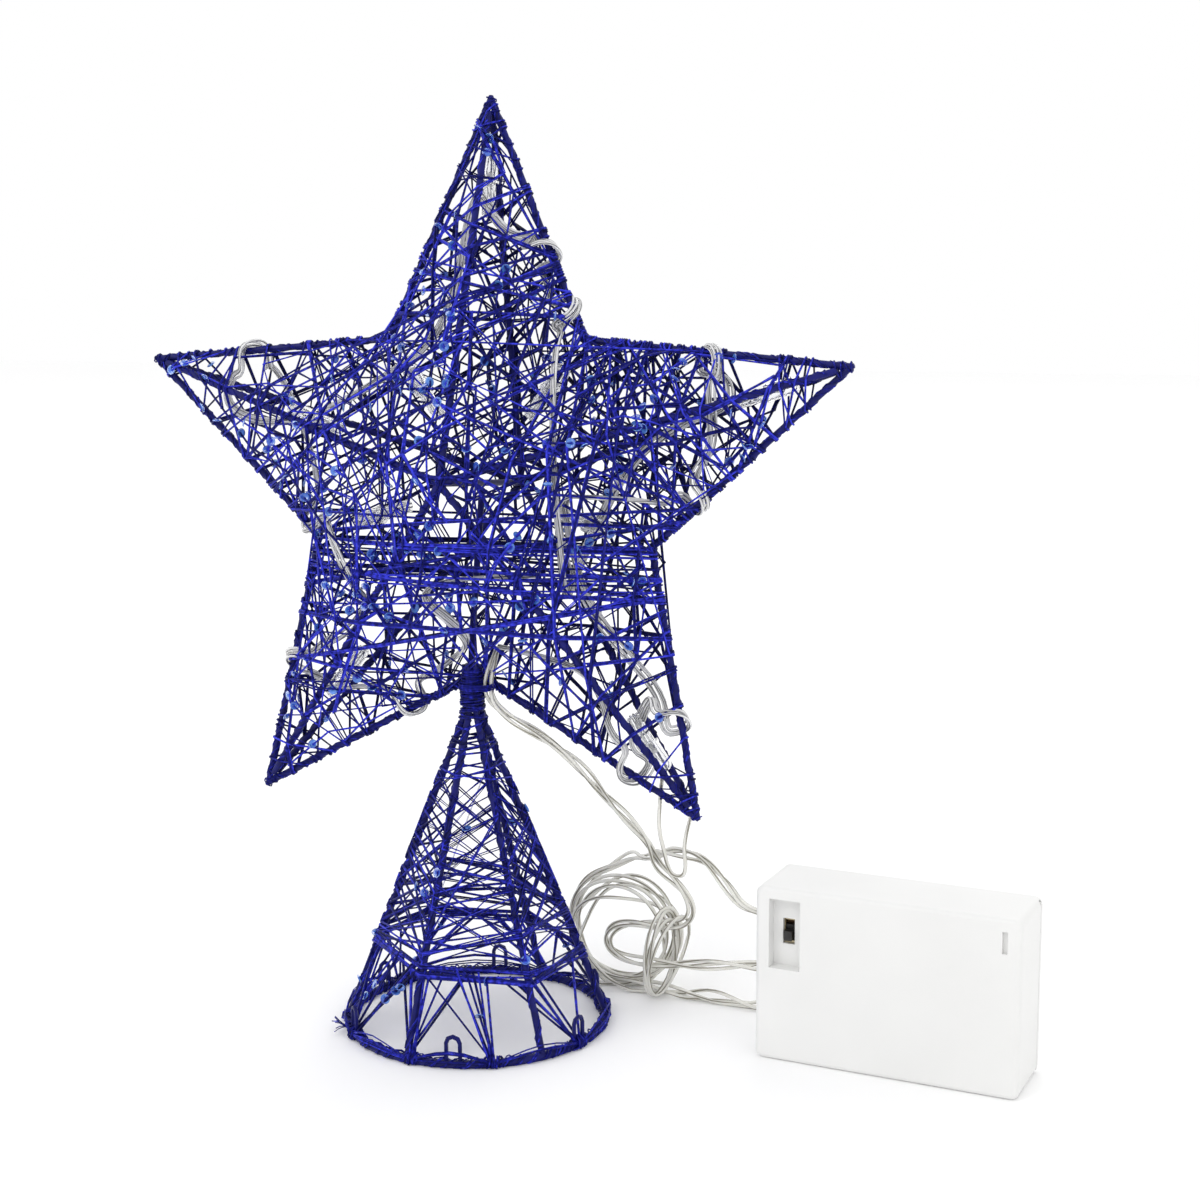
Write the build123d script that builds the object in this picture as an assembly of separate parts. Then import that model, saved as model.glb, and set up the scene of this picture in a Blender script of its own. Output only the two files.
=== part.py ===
from build123d import *
import math
import os

os.makedirs("parts", exist_ok=True)

# Star frame: five hollow arms of welded wire, standing on a stem and leaning back a little.
wire_d = 1.8
wire_sides = 12
arm_count = 5
top_tip_radius = 102.0
side_tip_radius = 104.5
lower_tip_radius = 106.5
upper_valley_radius = 47.5
side_valley_radius = 50.5
bottom_valley_radius = 51.5
apex_height = 30.5
star_centre_height = 148.0
star_lean = 6.0
weld_gap = 0.05
mitre_share = 6.0

# Cone: six legs on a ring, closing up round the stem as a bundle.
leg_count = 6
leg_first_angle = 20.0
ring_wire_d = 2.0
ring_sides = 6
ring_outer_d = 72.4
neck_low_height = 87.0
neck_top_height = 100.0
binding_low_height = 90.0
binding_high_height = 98.5
binding_wall = 0.5
binding_sides = 16
neck_gap = 0.05
leg_bend_share = 0.8
stem_rise = 5.0
eyelet_wire_d = 1.2
eyelet_width = 4.8
eyelet_height = 7.0
eyelet_sides = 5
eyelet_turn_share = 0.35

# Thread wound round the arms, across the waist and round the cone.
thread_d = 0.6
thread_sides = 3
thread_clearance = 0.3
arm_loops = 11
arm_first_share = 0.08
arm_last_shares = (0.97, 0.97, 0.72, 0.72, 0.97)
waist_loops = 7
waist_first_share = 0.98
waist_last_share = 0.80
cone_loops = 22
cone_low_height = 7.0
cone_high_height = 80.0

# Sequins strung on the thread.
sequin_d = 3.0
sequin_hole_d = 1.2
sequin_thick = 0.25
sequin_sides = 6
sequin_hole_sides = 4
sequin_every = 4

# Light string: clear lamps in clear sleeves on a twin wire.
lamp_d = 4.8
lamp_length = 8.6
lamp_sides = 8
dome_shares = (0.0, 0.5, 0.85)
sleeve_d = 3.7
sleeve_length = 8.4
lamp_gap = 0.05
string_d = 2.1
string_sides = 3
arm_lamp_shares = (0.78, 0.50, 0.62, 0.78, 0.78)
body_lamp_share = 0.21
string_return = 7.5
string_inner_share = 0.27
string_gap = 0.25

# Lead: the twin wire from the star to the battery box.
lead_d = 2.1
lead_sides = 5
bend_share = 0.45
coil_steps = 30
coil_points = 12
coil_first_radius = 17.2
coil_radius_step = 1.5
coil_pitch = 3.0
coil_centre_x = 31.0
coil_back_y = 40.5
coil_lift = 0.05
coil_start_angle = 105.0
coil_run = 8.0
neck_side_gap = 0.2
neck_side_low = 90.5
neck_side_high = 97.5
tie_gap = 0.1
lead_low_points = (
    (67.8, 12.0, 40.6),
    (61.0, 13.8, 46.8),
    (54.3, 16.0, 47.6),
    (48.3, 19.8, 46.6),
    (40.0, 31.5, 40.5),
)
lead_high_points = (
    (56.5, 31.5, 1.2),
    (72.0, 29.0, 1.2),
    (88.0, 28.0, 1.3),
    (102.0, 28.0, 2.2),
    (112.0, 28.0, 8.0),
    (113.0, 27.5, 17.0),
    (105.0, 27.0, 22.0),
    (94.0, 26.5, 18.5),
    (84.0, 26.2, 14.3),
    (71.5, 26.5, 13.4),
    (57.0, 27.0, 12.0),
    (44.5, 27.8, 11.0),
    (36.0, 28.6, 10.6),
    (30.2, 29.0, 12.6),
    (28.2, 29.2, 16.4),
    (30.6, 29.2, 20.2),
    (36.8, 29.0, 22.0),
    (45.0, 28.6, 21.8),
    (51.8, 28.0, 23.2),
    (54.5, 26.5, 28.5),
    (50.5, 24.5, 35.5),
    (45.2, 22.0, 41.5),
    (43.5, 19.0, 49.0),
    (40.0, 16.0, 54.5),
    (34.0, 12.0, 63.0),
    (27.5, 5.5, 74.0),
    (18.5, -0.5, 82.5),
    (10.0, -0.4, 86.2),
)
slack_d = 1.1
slack_points = (
    (52.2, 3.8, 72.0),
    (51.2, 4.8, 64.5),
    (50.2, 7.0, 56.5),
    (50.6, 10.8, 49.5),
    (50.9, 13.0, 44.6),
    (52.0, 14.0, 41.6),
    (55.0, 14.0, 41.4),
    (56.3, 12.8, 44.4),
    (56.6, 9.0, 51.5),
    (59.2, 5.0, 59.5),
    (61.2, 3.8, 65.0),
)

# Battery box: three AA cells side by side, standing on a long side.
case_w = 70.0
case_d = 21.0
case_h = 47.0
case_wall = 1.6
case_corner = 2.2
case_edge = 1.4
case_x = 79.7
case_y = -4.1
case_turn = 7.3
cell_count = 3
cell_gap = 0.4
cell_back_gap = 0.1
cell_nub_d = 5.5
cell_nub = 1.0
cell_nub_sides = 12
cell_front = 4.8
spring_length = 5.45
cradle_wall = 1.2
cradle_share = 0.25
plate_thick = 0.3
plate_w = 9.0
spring_wire_d = 0.7
spring_base_d = 9.0
spring_tip_d = 5.6
spring_curls = 3
spring_points = 8
spring_sides = 3
part_gap = 0.05
partition_x = 10.6
partition_thick = 1.4
lid_thick = 1.6
lid_gap = 0.3
tongue_h = 0.7
tongue_thick = 0.8
grip_count = 4
grip_pitch = 2.4
grip_w = 1.0
grip_thick = 0.5
grip_low_share = 0.33
grip_high_share = 0.67
pocket_x = 3.8
pocket_w = 8.5
pocket_h = 18.7
pocket_drop = 3.1
pocket_depth = 3.6
pocket_wall = 1.0
slot_w = 3.2
slot_h = 6.9
slit_inset = 3.6
slit_w = 1.4
slit_h = 5.7
slit_drop = 3.4
slit_depth = 1.0
switch_w = 4.2
switch_h = 8.6
switch_thick = 3.6
switch_wall = 0.4
switch_slot_w = 2.7
switch_slot_h = 5.6
knob_w = 2.1
knob_h = 2.6
knob_travel = 2.0
knob_stand = 1.2
slider_w = 2.8
slider_h = 4.6
slider_thick = 1.6
slider_gap = 0.2
base_thick = 1.0
pin_count = 3
pin_pitch = 2.0
pin_w = 0.7
pin_thick = 0.4
pin_length = 2.6
lead_hole_d = 3.0
lead_hole_height = 35.0
lead_hole_depth = 13.0
bush_flange_d = 4.6
bush_flange_thick = 1.0
bush_sides = 12

wire_r = wire_d / 2
thread_r = thread_d / 2
hold_r = wire_r + thread_r + thread_clearance
arm_step = 360 / arm_count
leg_step = 360 / leg_count
half = 1 / 2
right_angle = 90
tip_radii = (top_tip_radius, side_tip_radius, lower_tip_radius, lower_tip_radius, side_tip_radius)
valley_radii = (
    upper_valley_radius,
    side_valley_radius,
    bottom_valley_radius,
    side_valley_radius,
    upper_valley_radius,
)
bundle_r = wire_d + neck_gap
neck_r = bundle_r + wire_r + neck_gap + binding_wall
lean_sin = math.sin(math.radians(star_lean))
lean_cos = math.cos(math.radians(star_lean))
star_back = neck_r + thread_clearance + wire_r + bottom_valley_radius * lean_sin
star_plane = Plane(
    origin=(0, star_back, star_centre_height),
    x_dir=(1, 0, 0),
    z_dir=(0, -lean_cos, lean_sin),
)
ring_r = ring_wire_d / 2
ring_mid = ring_outer_d / 2 - ring_r
box_place = Location((case_x, case_y, 0), (0, 0, -case_turn))


def polar(radius, angle):
    turn = math.radians(angle)
    return Vector(radius * math.cos(turn), radius * math.sin(turn), 0)


def arm_angle(index):
    return right_angle + index * arm_step


def tip(index):
    return polar(tip_radii[index % arm_count], arm_angle(index))


def valley(index):
    return polar(valley_radii[index % arm_count], arm_angle(index) + arm_step * half)


def apex(side):
    return Vector(0, 0, side * apex_height)


def rod(start, end, diameter, sides):
    way = end - start
    foot = Plane(origin=start, z_dir=way)
    return extrude(foot * RegularPolygon(diameter * half, sides), amount=way.length)


def on_star(shape):
    return star_plane.location * shape


def edge_wire(corner, far, corner_next, far_next):
    # One straight outline wire, cut at both ends on the plane that halves the corner, blunt at the tip.
    way = (far - corner).normalized()
    spare = way * wire_d * mitre_share
    bar = rod(corner - spare, far + spare, wire_d, wire_sides)
    at_corner = Plane(origin=corner, z_dir=way - (corner_next - corner).normalized())
    at_far = Plane(origin=far, z_dir=(far_next - far).normalized() * -1 - way)
    blunt = Plane(origin=corner + corner.normalized() * wire_r, z_dir=corner * -1)
    for cut in (at_corner, at_far, blunt):
        bar = split(bar, bisect_by=cut, keep=Keep.TOP)
    return bar


def outline_wires():
    wires = []
    for index in range(arm_count):
        before = valley(index - 1 + arm_count)
        after = valley(index)
        wires.append(edge_wire(tip(index), before, after, tip(index - 1 + arm_count)))
        wires.append(edge_wire(tip(index), after, before, tip(index + 1)))
    return wires


def ridge_wire(index, side):
    # A ridge runs from beside the two outline wires at the tip to the apex, where five meet.
    point = tip(index)
    way = (apex(side) - point).normalized()
    edge = (valley(index) - point).normalized()
    other = (valley(index - 1 + arm_count) - point).normalized()
    lean = min(way.cross(edge).length, way.cross(other).length)
    start = point + way * ((wire_d + weld_gap) / lean)
    bar = rod(start, apex(side) + way * wire_d * arm_count, wire_d, wire_sides)
    low = polar(1, arm_angle(index) - arm_step * half)
    high = polar(1, arm_angle(index) + arm_step * half)
    bar = split(bar, bisect_by=Plane(origin=(0, 0, 0), z_dir=Vector(0, 0, 1).cross(low)), keep=Keep.TOP)
    return split(bar, bisect_by=Plane(origin=(0, 0, 0), z_dir=high.cross(Vector(0, 0, 1))), keep=Keep.TOP)


def spacer_wire():
    # The wire between the two apexes ends just under the ridges.
    slope = apex_height / top_tip_radius
    reach = apex_height - wire_r * math.sqrt(1 + slope * slope) - weld_gap - wire_r * slope
    return rod(Vector(0, 0, -reach), Vector(0, 0, reach), wire_d, wire_sides)


def stem_wire():
    # The stem rises straight out of the neck, then bends back to the middle of the star.
    low = Vector(0, 0, neck_low_height)
    bend = Vector(0, 0, neck_top_height + stem_rise)
    middle = Vector(0, star_back, star_centre_height)
    way = (middle - bend).normalized()
    high = middle - way * (wire_d + weld_gap)
    turn = math.radians(way.get_angle(Vector(0, 0, 1)))
    reach = stem_rise * leg_bend_share
    path = FilletPolyline(low, bend, high, radius=reach / math.tan(turn * half))
    return sweep(Plane(origin=low, z_dir=(0, 0, 1)) * RegularPolygon(wire_r, wire_sides), path=path)


def base_ring():
    # A ring of flat bands round the wire, with one band down on the floor and one under the legs.
    turn = right_angle - 180 / ring_sides
    section = RegularPolygon(ring_r, ring_sides, major_radius=False, rotation=turn)
    return revolve(Plane.XZ * Pos(ring_mid, ring_r) * section, axis=Axis.Z)


def leg_foot(index):
    return polar(ring_mid, leg_first_angle + index * leg_step) + Vector(0, 0, ring_wire_d + weld_gap)


def leg_at(index, height):
    # The point of a leg's middle line at a height between the ring and the neck.
    foot = leg_foot(index)
    top = polar(bundle_r, leg_first_angle + index * leg_step) + Vector(0, 0, neck_low_height)
    share = (height - foot.Z) / (top.Z - foot.Z)
    return foot + (top - foot) * share


def cone_leg(index):
    foot = leg_at(index, 0)
    bend = leg_at(index, neck_low_height)
    top = polar(bundle_r, leg_first_angle + index * leg_step) + Vector(0, 0, neck_top_height)
    turn = (bend - foot).get_angle(top - bend)
    reach = (binding_low_height - neck_low_height) * leg_bend_share
    path = FilletPolyline(foot, bend, top, radius=reach / math.tan(math.radians(turn) * half))
    bar = sweep(Plane(origin=foot, z_dir=bend - foot) * RegularPolygon(wire_r, wire_sides), path=path)
    return split(bar, bisect_by=Plane(origin=leg_foot(index), z_dir=(0, 0, 1)), keep=Keep.TOP)


def neck_binding():
    outer = RegularPolygon(neck_r, binding_sides)
    inner = RegularPolygon(neck_r - binding_wall, binding_sides)
    band = extrude(outer - inner, amount=binding_high_height - binding_low_height)
    return Pos(0, 0, binding_low_height) * band


def faceted_solid(rings):
    # Flat faces from each ring of points to the next, closed by a flat face at both ends.
    faces = [Face(Wire.make_polygon(rings[0]))]
    sides = len(rings[0])
    for low, high in zip(rings, rings[1:]):
        for k in range(sides):
            n = (k + 1) % sides
            faces.append(Face(Wire.make_polygon([low[k], low[n], high[n], high[k]])))
    faces.append(Face(Wire.make_polygon(rings[-1])))
    return Solid(Shell(faces))


def faceted_tube(points, radius, sides):
    # A tube of flat sides along straight runs, with a mitre at each bend and square ends.
    ways = [(b - a).normalized() for a, b in zip(points, points[1:])]
    start = Plane(origin=points[0], z_dir=ways[0])
    turn = 360 / sides
    rings = [[start.from_local_coords(polar(radius, turn * (k + half))) for k in range(sides)]]
    for index, way in enumerate(ways):
        after = ways[index + 1] if index + 1 < len(ways) else way
        mitre = way + after
        target = points[index + 1]
        rings.append([v + way * ((target - v).dot(mitre) / way.dot(mitre)) for v in rings[-1]])
    return faceted_solid(rings)


def crossing(start, end, index):
    # Where a thread from edge to edge passes over an arm's ridge: share along it, and height.
    axis = polar(1, arm_angle(index))
    across = Vector(0, 0, 1).cross(axis)
    from_axis = start.dot(across)
    share = from_axis / (from_axis - end.dot(across))
    out = (start + (end - start) * share).dot(axis)
    return share, apex_height * (1 - out / tip_radii[index])


def edge_point(index, hand, share):
    # A point on the outline wire on one hand of an arm, counted from the tip to the valley.
    far = valley(index) if hand > 0 else valley(index - 1 + arm_count)
    return tip(index) + (far - tip(index)) * share


def outward(index, hand):
    far = valley(index) if hand > 0 else valley(index - 1 + arm_count)
    along = (far - tip(index)).normalized()
    normal = along.cross(Vector(0, 0, 1))
    return normal if normal.dot(polar(1, arm_angle(index))) > 0 else normal * -1


def round_edge(point, out, side):
    # Two bends take the thread round the outside of an outline wire, from one face to the other.
    swing = math.radians(right_angle / 3)
    far = hold_r / math.cos(swing)
    rise = Vector(0, 0, far * math.sin(swing) * side)
    flat = point + out * (far * math.cos(swing))
    return [flat - rise, flat + rise]


def over_ridge(start, end, index, side):
    share, height = crossing(start, end, index)
    span = (end - start).length * half
    slope = math.atan2(height, span)
    lift = height + hold_r / math.cos(slope)
    return start + (end - start) * share + Vector(0, 0, lift * side)


def arm_winding(index):
    # Thread wound round one arm from near its tip towards the body.
    loops = arm_loops
    first = arm_first_share
    step = (arm_last_shares[index] - first) / (loops + half)
    points = []
    for loop in range(loops):
        here = first + loop * step
        near = edge_point(index, 1, here)
        far = edge_point(index, -1, here + step * half)
        again = edge_point(index, 1, here + step)
        points += round_edge(near, outward(index, 1), 1)
        points.append(over_ridge(near, far, index, 1))
        points += round_edge(far, outward(index, -1), -1)
        points.append(over_ridge(far, again, index, -1))
    points += round_edge(again, outward(index, 1), 1)
    return points


def waist_winding():
    # Level turns across the star just under its side valleys.
    left, right = [index for index in range(arm_count) if tip(index).Y < 0]
    step = (waist_last_share - waist_first_share) / (waist_loops + half)
    points = []
    for loop in range(waist_loops):
        here = waist_first_share + loop * step
        near = edge_point(left, -1, here)
        far = edge_point(right, 1, here + step * half)
        again = edge_point(left, -1, here + step)
        points += round_edge(near, outward(left, -1), 1)
        points += [over_ridge(near, far, left, 1), over_ridge(near, far, right, 1)]
        points += round_edge(far, outward(right, 1), -1)
        points += [over_ridge(far, again, right, -1), over_ridge(far, again, left, -1)]
    return points


def cone_winding():
    # Thread wound round the legs, one bend at each leg.
    steps = cone_loops * leg_count
    points = []
    for step in range(steps + 1):
        height = cone_high_height + (cone_low_height - cone_high_height) * step / steps
        leg = leg_at(step % leg_count, height)
        out = polar(hold_r / math.cos(math.radians(leg_step) * half), leg_first_angle + step * leg_step)
        points.append(leg + out)
    return points


def least_gap(points, diameter):
    # The smallest space between two runs of a tube that are not neighbours, on points along them.
    dense = []
    for index, (a, b) in enumerate(zip(points, points[1:])):
        count = max(2, int((b - a).length / (2 * diameter)))
        dense += [(index, tuple(a + (b - a) * (k / count))) for k in range(count)]
    best = math.inf
    for i, (run, p) in enumerate(dense):
        for other, q in dense[i + 1:]:
            if other - run > 3:
                best = min(best, math.dist(p, q))
    return best - diameter


def sequin(point, way):
    hole = RegularPolygon(sequin_hole_d * half, sequin_hole_sides)
    disc = RegularPolygon(sequin_d * half, sequin_sides) - hole
    flat = Plane(origin=point, z_dir=way)
    return extrude(flat * disc, amount=sequin_thick * half, both=True)


def sequins_on(points, every):
    # A sequin at the middle of every so many of the thread's longer runs.
    discs = []
    runs = [(a, b) for a, b in zip(points, points[1:]) if (b - a).length > sequin_d * 2]
    for index, (a, b) in enumerate(runs):
        if index % every == every // 2:
            discs.append(sequin((a + b) * half, b - a))
    return discs


def lamp_seats():
    # Foot point and direction of each lamp's sleeve, in the star's own plane.
    seats = []
    for index in range(arm_count):
        way = polar(1, arm_angle(index))
        seats.append((way * (arm_lamp_shares[index] * tip_radii[index] - sleeve_length), way))
    for index in (0, 1, 3, 4):
        way = polar(1, arm_angle(index) + arm_step * half)
        seats.append((way * (body_lamp_share * tip_radii[index]), way))
    return seats


def lamp_sleeve(foot, way):
    return rod(foot, foot + way * sleeve_length, sleeve_d, lamp_sides)


def lamp(foot, way):
    # A short cylinder with a domed end, in flat bands.
    base = foot + way * (sleeve_length + lamp_gap)
    radius = lamp_d * half
    levels = [(0, radius)]
    for share in dome_shares:
        turn = math.radians(right_angle * share)
        levels.append((lamp_length - radius + radius * math.sin(turn), radius * math.cos(turn)))
    rings = []
    for run, reach in levels:
        level = Plane(origin=base + way * run, z_dir=way)
        rings.append([level.from_local_coords(polar(reach, 360 * k / lamp_sides)) for k in range(lamp_sides)])
    return faceted_solid(rings)


def string_points():
    # The twin wire passes under the foot of each sleeve, out along one side of an arm and back.
    drop = string_d * half + string_gap
    seats = lamp_seats()
    order = [3, 7, 4, 8, 0, 5, 1, 6, 2]
    points = []
    for seat in order:
        foot, way = seats[seat]
        across = Vector(0, 0, 1).cross(way)
        base = foot - way * drop
        if seat < arm_count:
            inner = way * (string_inner_share * tip_radii[seat])
            points.append(inner - across * string_return)
            points.append(base - across * string_return * half)
            points.append(base + across * string_return * half)
            points.append(inner + across * string_return)
        else:
            points.append(base - across * string_return * half)
            points.append(base + across * string_return * half)
    neck = star_plane.to_local_coords(beside_neck(neck_side_high))
    way = (points[0] - neck).normalized()
    return [neck + way * coil_run] + points


def beside_neck(height):
    # The lead passes up against the right of the neck.
    return Vector(neck_r + lead_d * half + neck_side_gap, 0, height)


def lead_tie():
    # A band of thread round the neck and the lead.
    middle = beside_neck((neck_side_low + neck_side_high) * half)
    lead = Pos(middle.X, middle.Y)
    bands = []
    for wall in (tie_gap, tie_gap + thread_d):
        round_neck = RegularPolygon(neck_r + wall, binding_sides)
        round_lead = lead * RegularPolygon(lead_d * half + wall, binding_sides)
        bands.append(make_hull((round_neck + round_lead).edges()))
    inner, outer = bands
    return Pos(0, 0, middle.Z) * extrude(outer - inner, amount=thread_r, both=True)


def bend_radii(points):
    radii = []
    for a, b, c in zip(points, points[1:], points[2:]):
        turn = math.radians((b - a).get_angle(c - b))
        run = min((b - a).length, (c - b).length)
        radii.append(bend_share * run / math.tan(turn * half))
    return radii


def cord(name, points, diameter, sides):
    # A tube of flat sides along straight runs joined by tangent arcs.
    radii = bend_radii(points)
    print(name, "bend radii", [round(r, 1) for r in radii])
    path = FilletPolyline(*points, radius=radii)
    start = Plane(origin=points[0], z_dir=points[1] - points[0])
    area = sides * half * (diameter * half) ** 2 * math.sin(2 * math.pi / sides)
    tube = sweep(start * RegularPolygon(diameter * half, sides), path=path)
    print(name, "volume share", round(tube.volume / (area * path.length), 3), "length", round(path.length, 1))
    return tube


def coil_line():
    # Loose turns standing on the floor, each a little smaller than the one behind it.
    points = []
    flat = math.cos(math.pi / coil_points)
    for step in range(coil_steps + 1):
        turn = step / coil_points
        radius = coil_first_radius - coil_radius_step * turn
        angle = math.radians(coil_start_angle + 360 * turn)
        x = coil_centre_x + radius * math.cos(angle)
        z = radius * (flat + math.sin(angle)) + lead_d * half + coil_lift
        points.append(Vector(x, coil_back_y - coil_pitch * turn, z))
    return points


def eyelet(index):
    # A small arch of wire standing on the ring beside a leg.
    angle = leg_first_angle + (index + eyelet_turn_share) * leg_step
    along = polar(1, angle + right_angle)
    foot = polar(ring_mid, angle) + Vector(0, 0, ring_wire_d + weld_gap)
    span = (eyelet_width - eyelet_wire_d) * half
    points = [foot - along * span]
    for step in range(arm_count):
        swing = math.pi * step / (arm_count - 1)
        rise = eyelet_height - eyelet_wire_d * half - span + span * math.sin(swing)
        points.append(foot - along * (span * math.cos(swing)) + Vector(0, 0, rise))
    points.append(foot + along * span)
    return faceted_tube(points, eyelet_wire_d * half, eyelet_sides)


def slab(x0, x1, y0, y1, z0, z1):
    # A block of the battery box, given by its limits along, into and up the box.
    block = Box(x1 - x0, y1 - y0, z1 - z0)
    return Pos((x0 + x1) * half, (y0 + y1) * half, (z0 + z1) * half) * block


def cell_axis_height(index):
    return case_h * half + (index - 1) * cell_pitch


lid_face = case_d - lid_thick
cell_pitch = (case_h - case_wall * 2) / cell_count
cell_d = min(cell_pitch - cell_gap, lid_face - lid_gap - cell_back_gap - cell_front)
cell_axis_depth = lid_face - lid_gap - cell_back_gap - cell_d * half
plate_left = partition_x + partition_thick + part_gap
plate_right = case_w - case_wall - part_gap
cell_body = plate_right - plate_left - plate_thick * 2 - cell_nub - part_gap - spring_length
slit_x = case_w - slit_inset - slit_w
pocket_top = case_h - pocket_drop
pocket_low = pocket_top - pocket_h
slot_x = pocket_x + pocket_w * half
slot_z = (pocket_top + pocket_low) * half
switch_front = pocket_depth + pocket_wall + part_gap


def case_outer():
    profile = RectangleRounded(case_w, case_h, case_corner)
    face = Plane(origin=(case_w * half, 0, case_h * half), x_dir=(1, 0, 0), z_dir=(0, 1, 0))
    block = extrude(face * profile, amount=case_d)
    front = block.faces().sort_by(Axis.Y)[0]
    return fillet(front.edges(), radius=case_edge)


def cradle(x):
    # A rib across the inside of the case with a hollow for each cell.
    rib = slab(x, x + cradle_wall, case_wall, cell_axis_depth, case_wall, case_h - case_wall)
    for index in range(cell_count):
        hole = Plane(origin=(x, cell_axis_depth, cell_axis_height(index)), z_dir=(1, 0, 0))
        rib -= extrude(hole * Circle(cell_d * half + part_gap), amount=cradle_wall)
    return rib


def battery_case():
    inner_top = case_h - case_wall
    body = case_outer()
    body -= slab(case_wall, case_w - case_wall, case_wall, case_d, case_wall, inner_top)
    body -= slab(case_wall, case_w, lid_face - lid_gap, case_d, case_wall, inner_top)
    groove_deep = tongue_h + lid_gap
    groove = slab(
        case_wall,
        case_w,
        lid_face - lid_gap,
        lid_face + tongue_thick + lid_gap,
        case_wall - groove_deep,
        inner_top + groove_deep,
    )
    body -= groove
    body += slab(
        pocket_x - pocket_wall,
        pocket_x + pocket_w + pocket_wall,
        case_wall * half,
        pocket_depth + pocket_wall,
        pocket_low - pocket_wall,
        pocket_top + pocket_wall,
    )
    partition = slab(
        partition_x,
        partition_x + partition_thick,
        case_wall * half,
        lid_face - lid_gap * 2,
        case_wall * half,
        case_h - case_wall * half,
    )
    body += partition
    inset = (plate_right - plate_left) * cradle_share
    body += cradle(plate_left + inset)
    body += cradle(plate_right - inset)
    body -= slab(pocket_x, pocket_x + pocket_w, 0, pocket_depth, pocket_low, pocket_top)
    body -= slab(
        slot_x - slot_w * half,
        slot_x + slot_w * half,
        0,
        pocket_depth + pocket_wall,
        slot_z - slot_h * half,
        slot_z + slot_h * half,
    )
    body -= slab(slit_x, slit_x + slit_w, 0, slit_depth, case_h - slit_drop - slit_h, case_h - slit_drop)
    hole = Plane(origin=(0, lead_hole_depth, lead_hole_height), z_dir=(1, 0, 0))
    body -= extrude(hole * Circle(lead_hole_d * half), amount=case_wall)
    return body


def battery_lid():
    # The lid slides along the box on two tongues; ribs on its back give the thumb a hold.
    low = case_wall + lid_gap
    high = case_h - case_wall - lid_gap
    left = case_wall + lid_gap
    plate = slab(left, case_w, lid_face, case_d, low, high)
    tongue = slab(left, case_w, lid_face, lid_face + tongue_thick, low - tongue_h, high + tongue_h)
    lid = plate + tongue
    for index in range(grip_count):
        x = case_w - (index + 2) * grip_pitch
        low_end = case_h * grip_low_share
        high_end = case_h * grip_high_share
        lid += slab(x, x + grip_w, case_d, case_d + grip_thick, low_end, high_end)
    return lid


def switch_frame():
    x0 = slot_x - switch_w * half
    x1 = slot_x + switch_w * half
    z0 = slot_z - switch_h * half
    z1 = slot_z + switch_h * half
    front = switch_front
    can = slab(x0, x1, front, front + switch_thick, z0, z1)
    can -= slab(
        x0 + switch_wall,
        x1 - switch_wall,
        front + switch_wall,
        front + switch_thick,
        z0 + switch_wall,
        z1 - switch_wall,
    )
    window = slab(
        slot_x - switch_slot_w * half,
        slot_x + switch_slot_w * half,
        front,
        front + switch_wall,
        slot_z - switch_slot_h * half,
        slot_z + switch_slot_h * half,
    )
    return can - window


def switch_base():
    inner_w = switch_w * half - switch_wall - part_gap
    inner_h = switch_h * half - switch_wall - part_gap
    back = switch_front + switch_thick
    front = back - base_thick
    base = slab(slot_x - inner_w, slot_x + inner_w, front, back, slot_z - inner_h, slot_z + inner_h)
    for index in range(pin_count):
        z = slot_z + (index - 1) * pin_pitch
        base += slab(
            slot_x - pin_thick * half,
            slot_x + pin_thick * half,
            back,
            back + pin_length,
            z - pin_w * half,
            z + pin_w * half,
        )
    return base


def switch_knob():
    # Stored in the lower of its two positions.
    z = slot_z - knob_travel * half
    inside = switch_front + switch_wall + slider_gap
    slider = slab(
        slot_x - slider_w * half,
        slot_x + slider_w * half,
        inside,
        inside + slider_thick,
        z - slider_h * half,
        z + slider_h * half,
    )
    stem = slab(
        slot_x - knob_w * half,
        slot_x + knob_w * half,
        pocket_depth - knob_stand,
        inside,
        z - knob_h * half,
        z + knob_h * half,
    )
    return slider + stem


def cell_starts(index):
    # The middle cell lies the other way round from its neighbours.
    if index == 1:
        body = plate_left + plate_thick + cell_nub + part_gap
        return body, body - cell_nub
    body = plate_right - plate_thick - cell_nub - part_gap - cell_body
    return body, body + cell_body


def aa_cell(index):
    start, nub = cell_starts(index)
    axis = Plane(origin=(start, cell_axis_depth, cell_axis_height(index)), z_dir=(1, 0, 0))
    cell = extrude(axis * Circle(cell_d * half), amount=cell_body)
    end = Plane(origin=(nub, cell_axis_depth, cell_axis_height(index)), z_dir=(1, 0, 0))
    return cell + extrude(end * RegularPolygon(cell_nub_d * half, cell_nub_sides), amount=cell_nub)


def contact_spring(index):
    # A cone of curls between a contact plate and the flat end of a cell.
    start, nub = cell_starts(index)
    radius = spring_wire_d * half
    if index == 1:
        foot = plate_right - plate_thick - radius - part_gap
        head = start + cell_body + radius + part_gap
    else:
        foot = plate_left + plate_thick + radius + part_gap
        head = start - radius - part_gap
    points = []
    steps = spring_curls * spring_points
    for step in range(steps + 1):
        share = step / steps
        reach = (spring_base_d + (spring_tip_d - spring_base_d) * share) * half - radius
        turn = 2 * math.pi * step / spring_points
        x = foot + (head - foot) * share
        y = cell_axis_depth + reach * math.cos(turn)
        points.append(Vector(x, y, cell_axis_height(index) + reach * math.sin(turn)))
    first = (points[0] - points[1]).normalized() * spring_wire_d
    last = (points[-1] - points[-2]).normalized() * spring_wire_d
    points = [points[0] + Vector(0, first.Y, first.Z)] + points + [points[-1] + Vector(0, last.Y, last.Z)]
    print("spring", index, "gap", round(least_gap(points, spring_wire_d), 2))
    return faceted_tube(points, radius, spring_sides)


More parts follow.
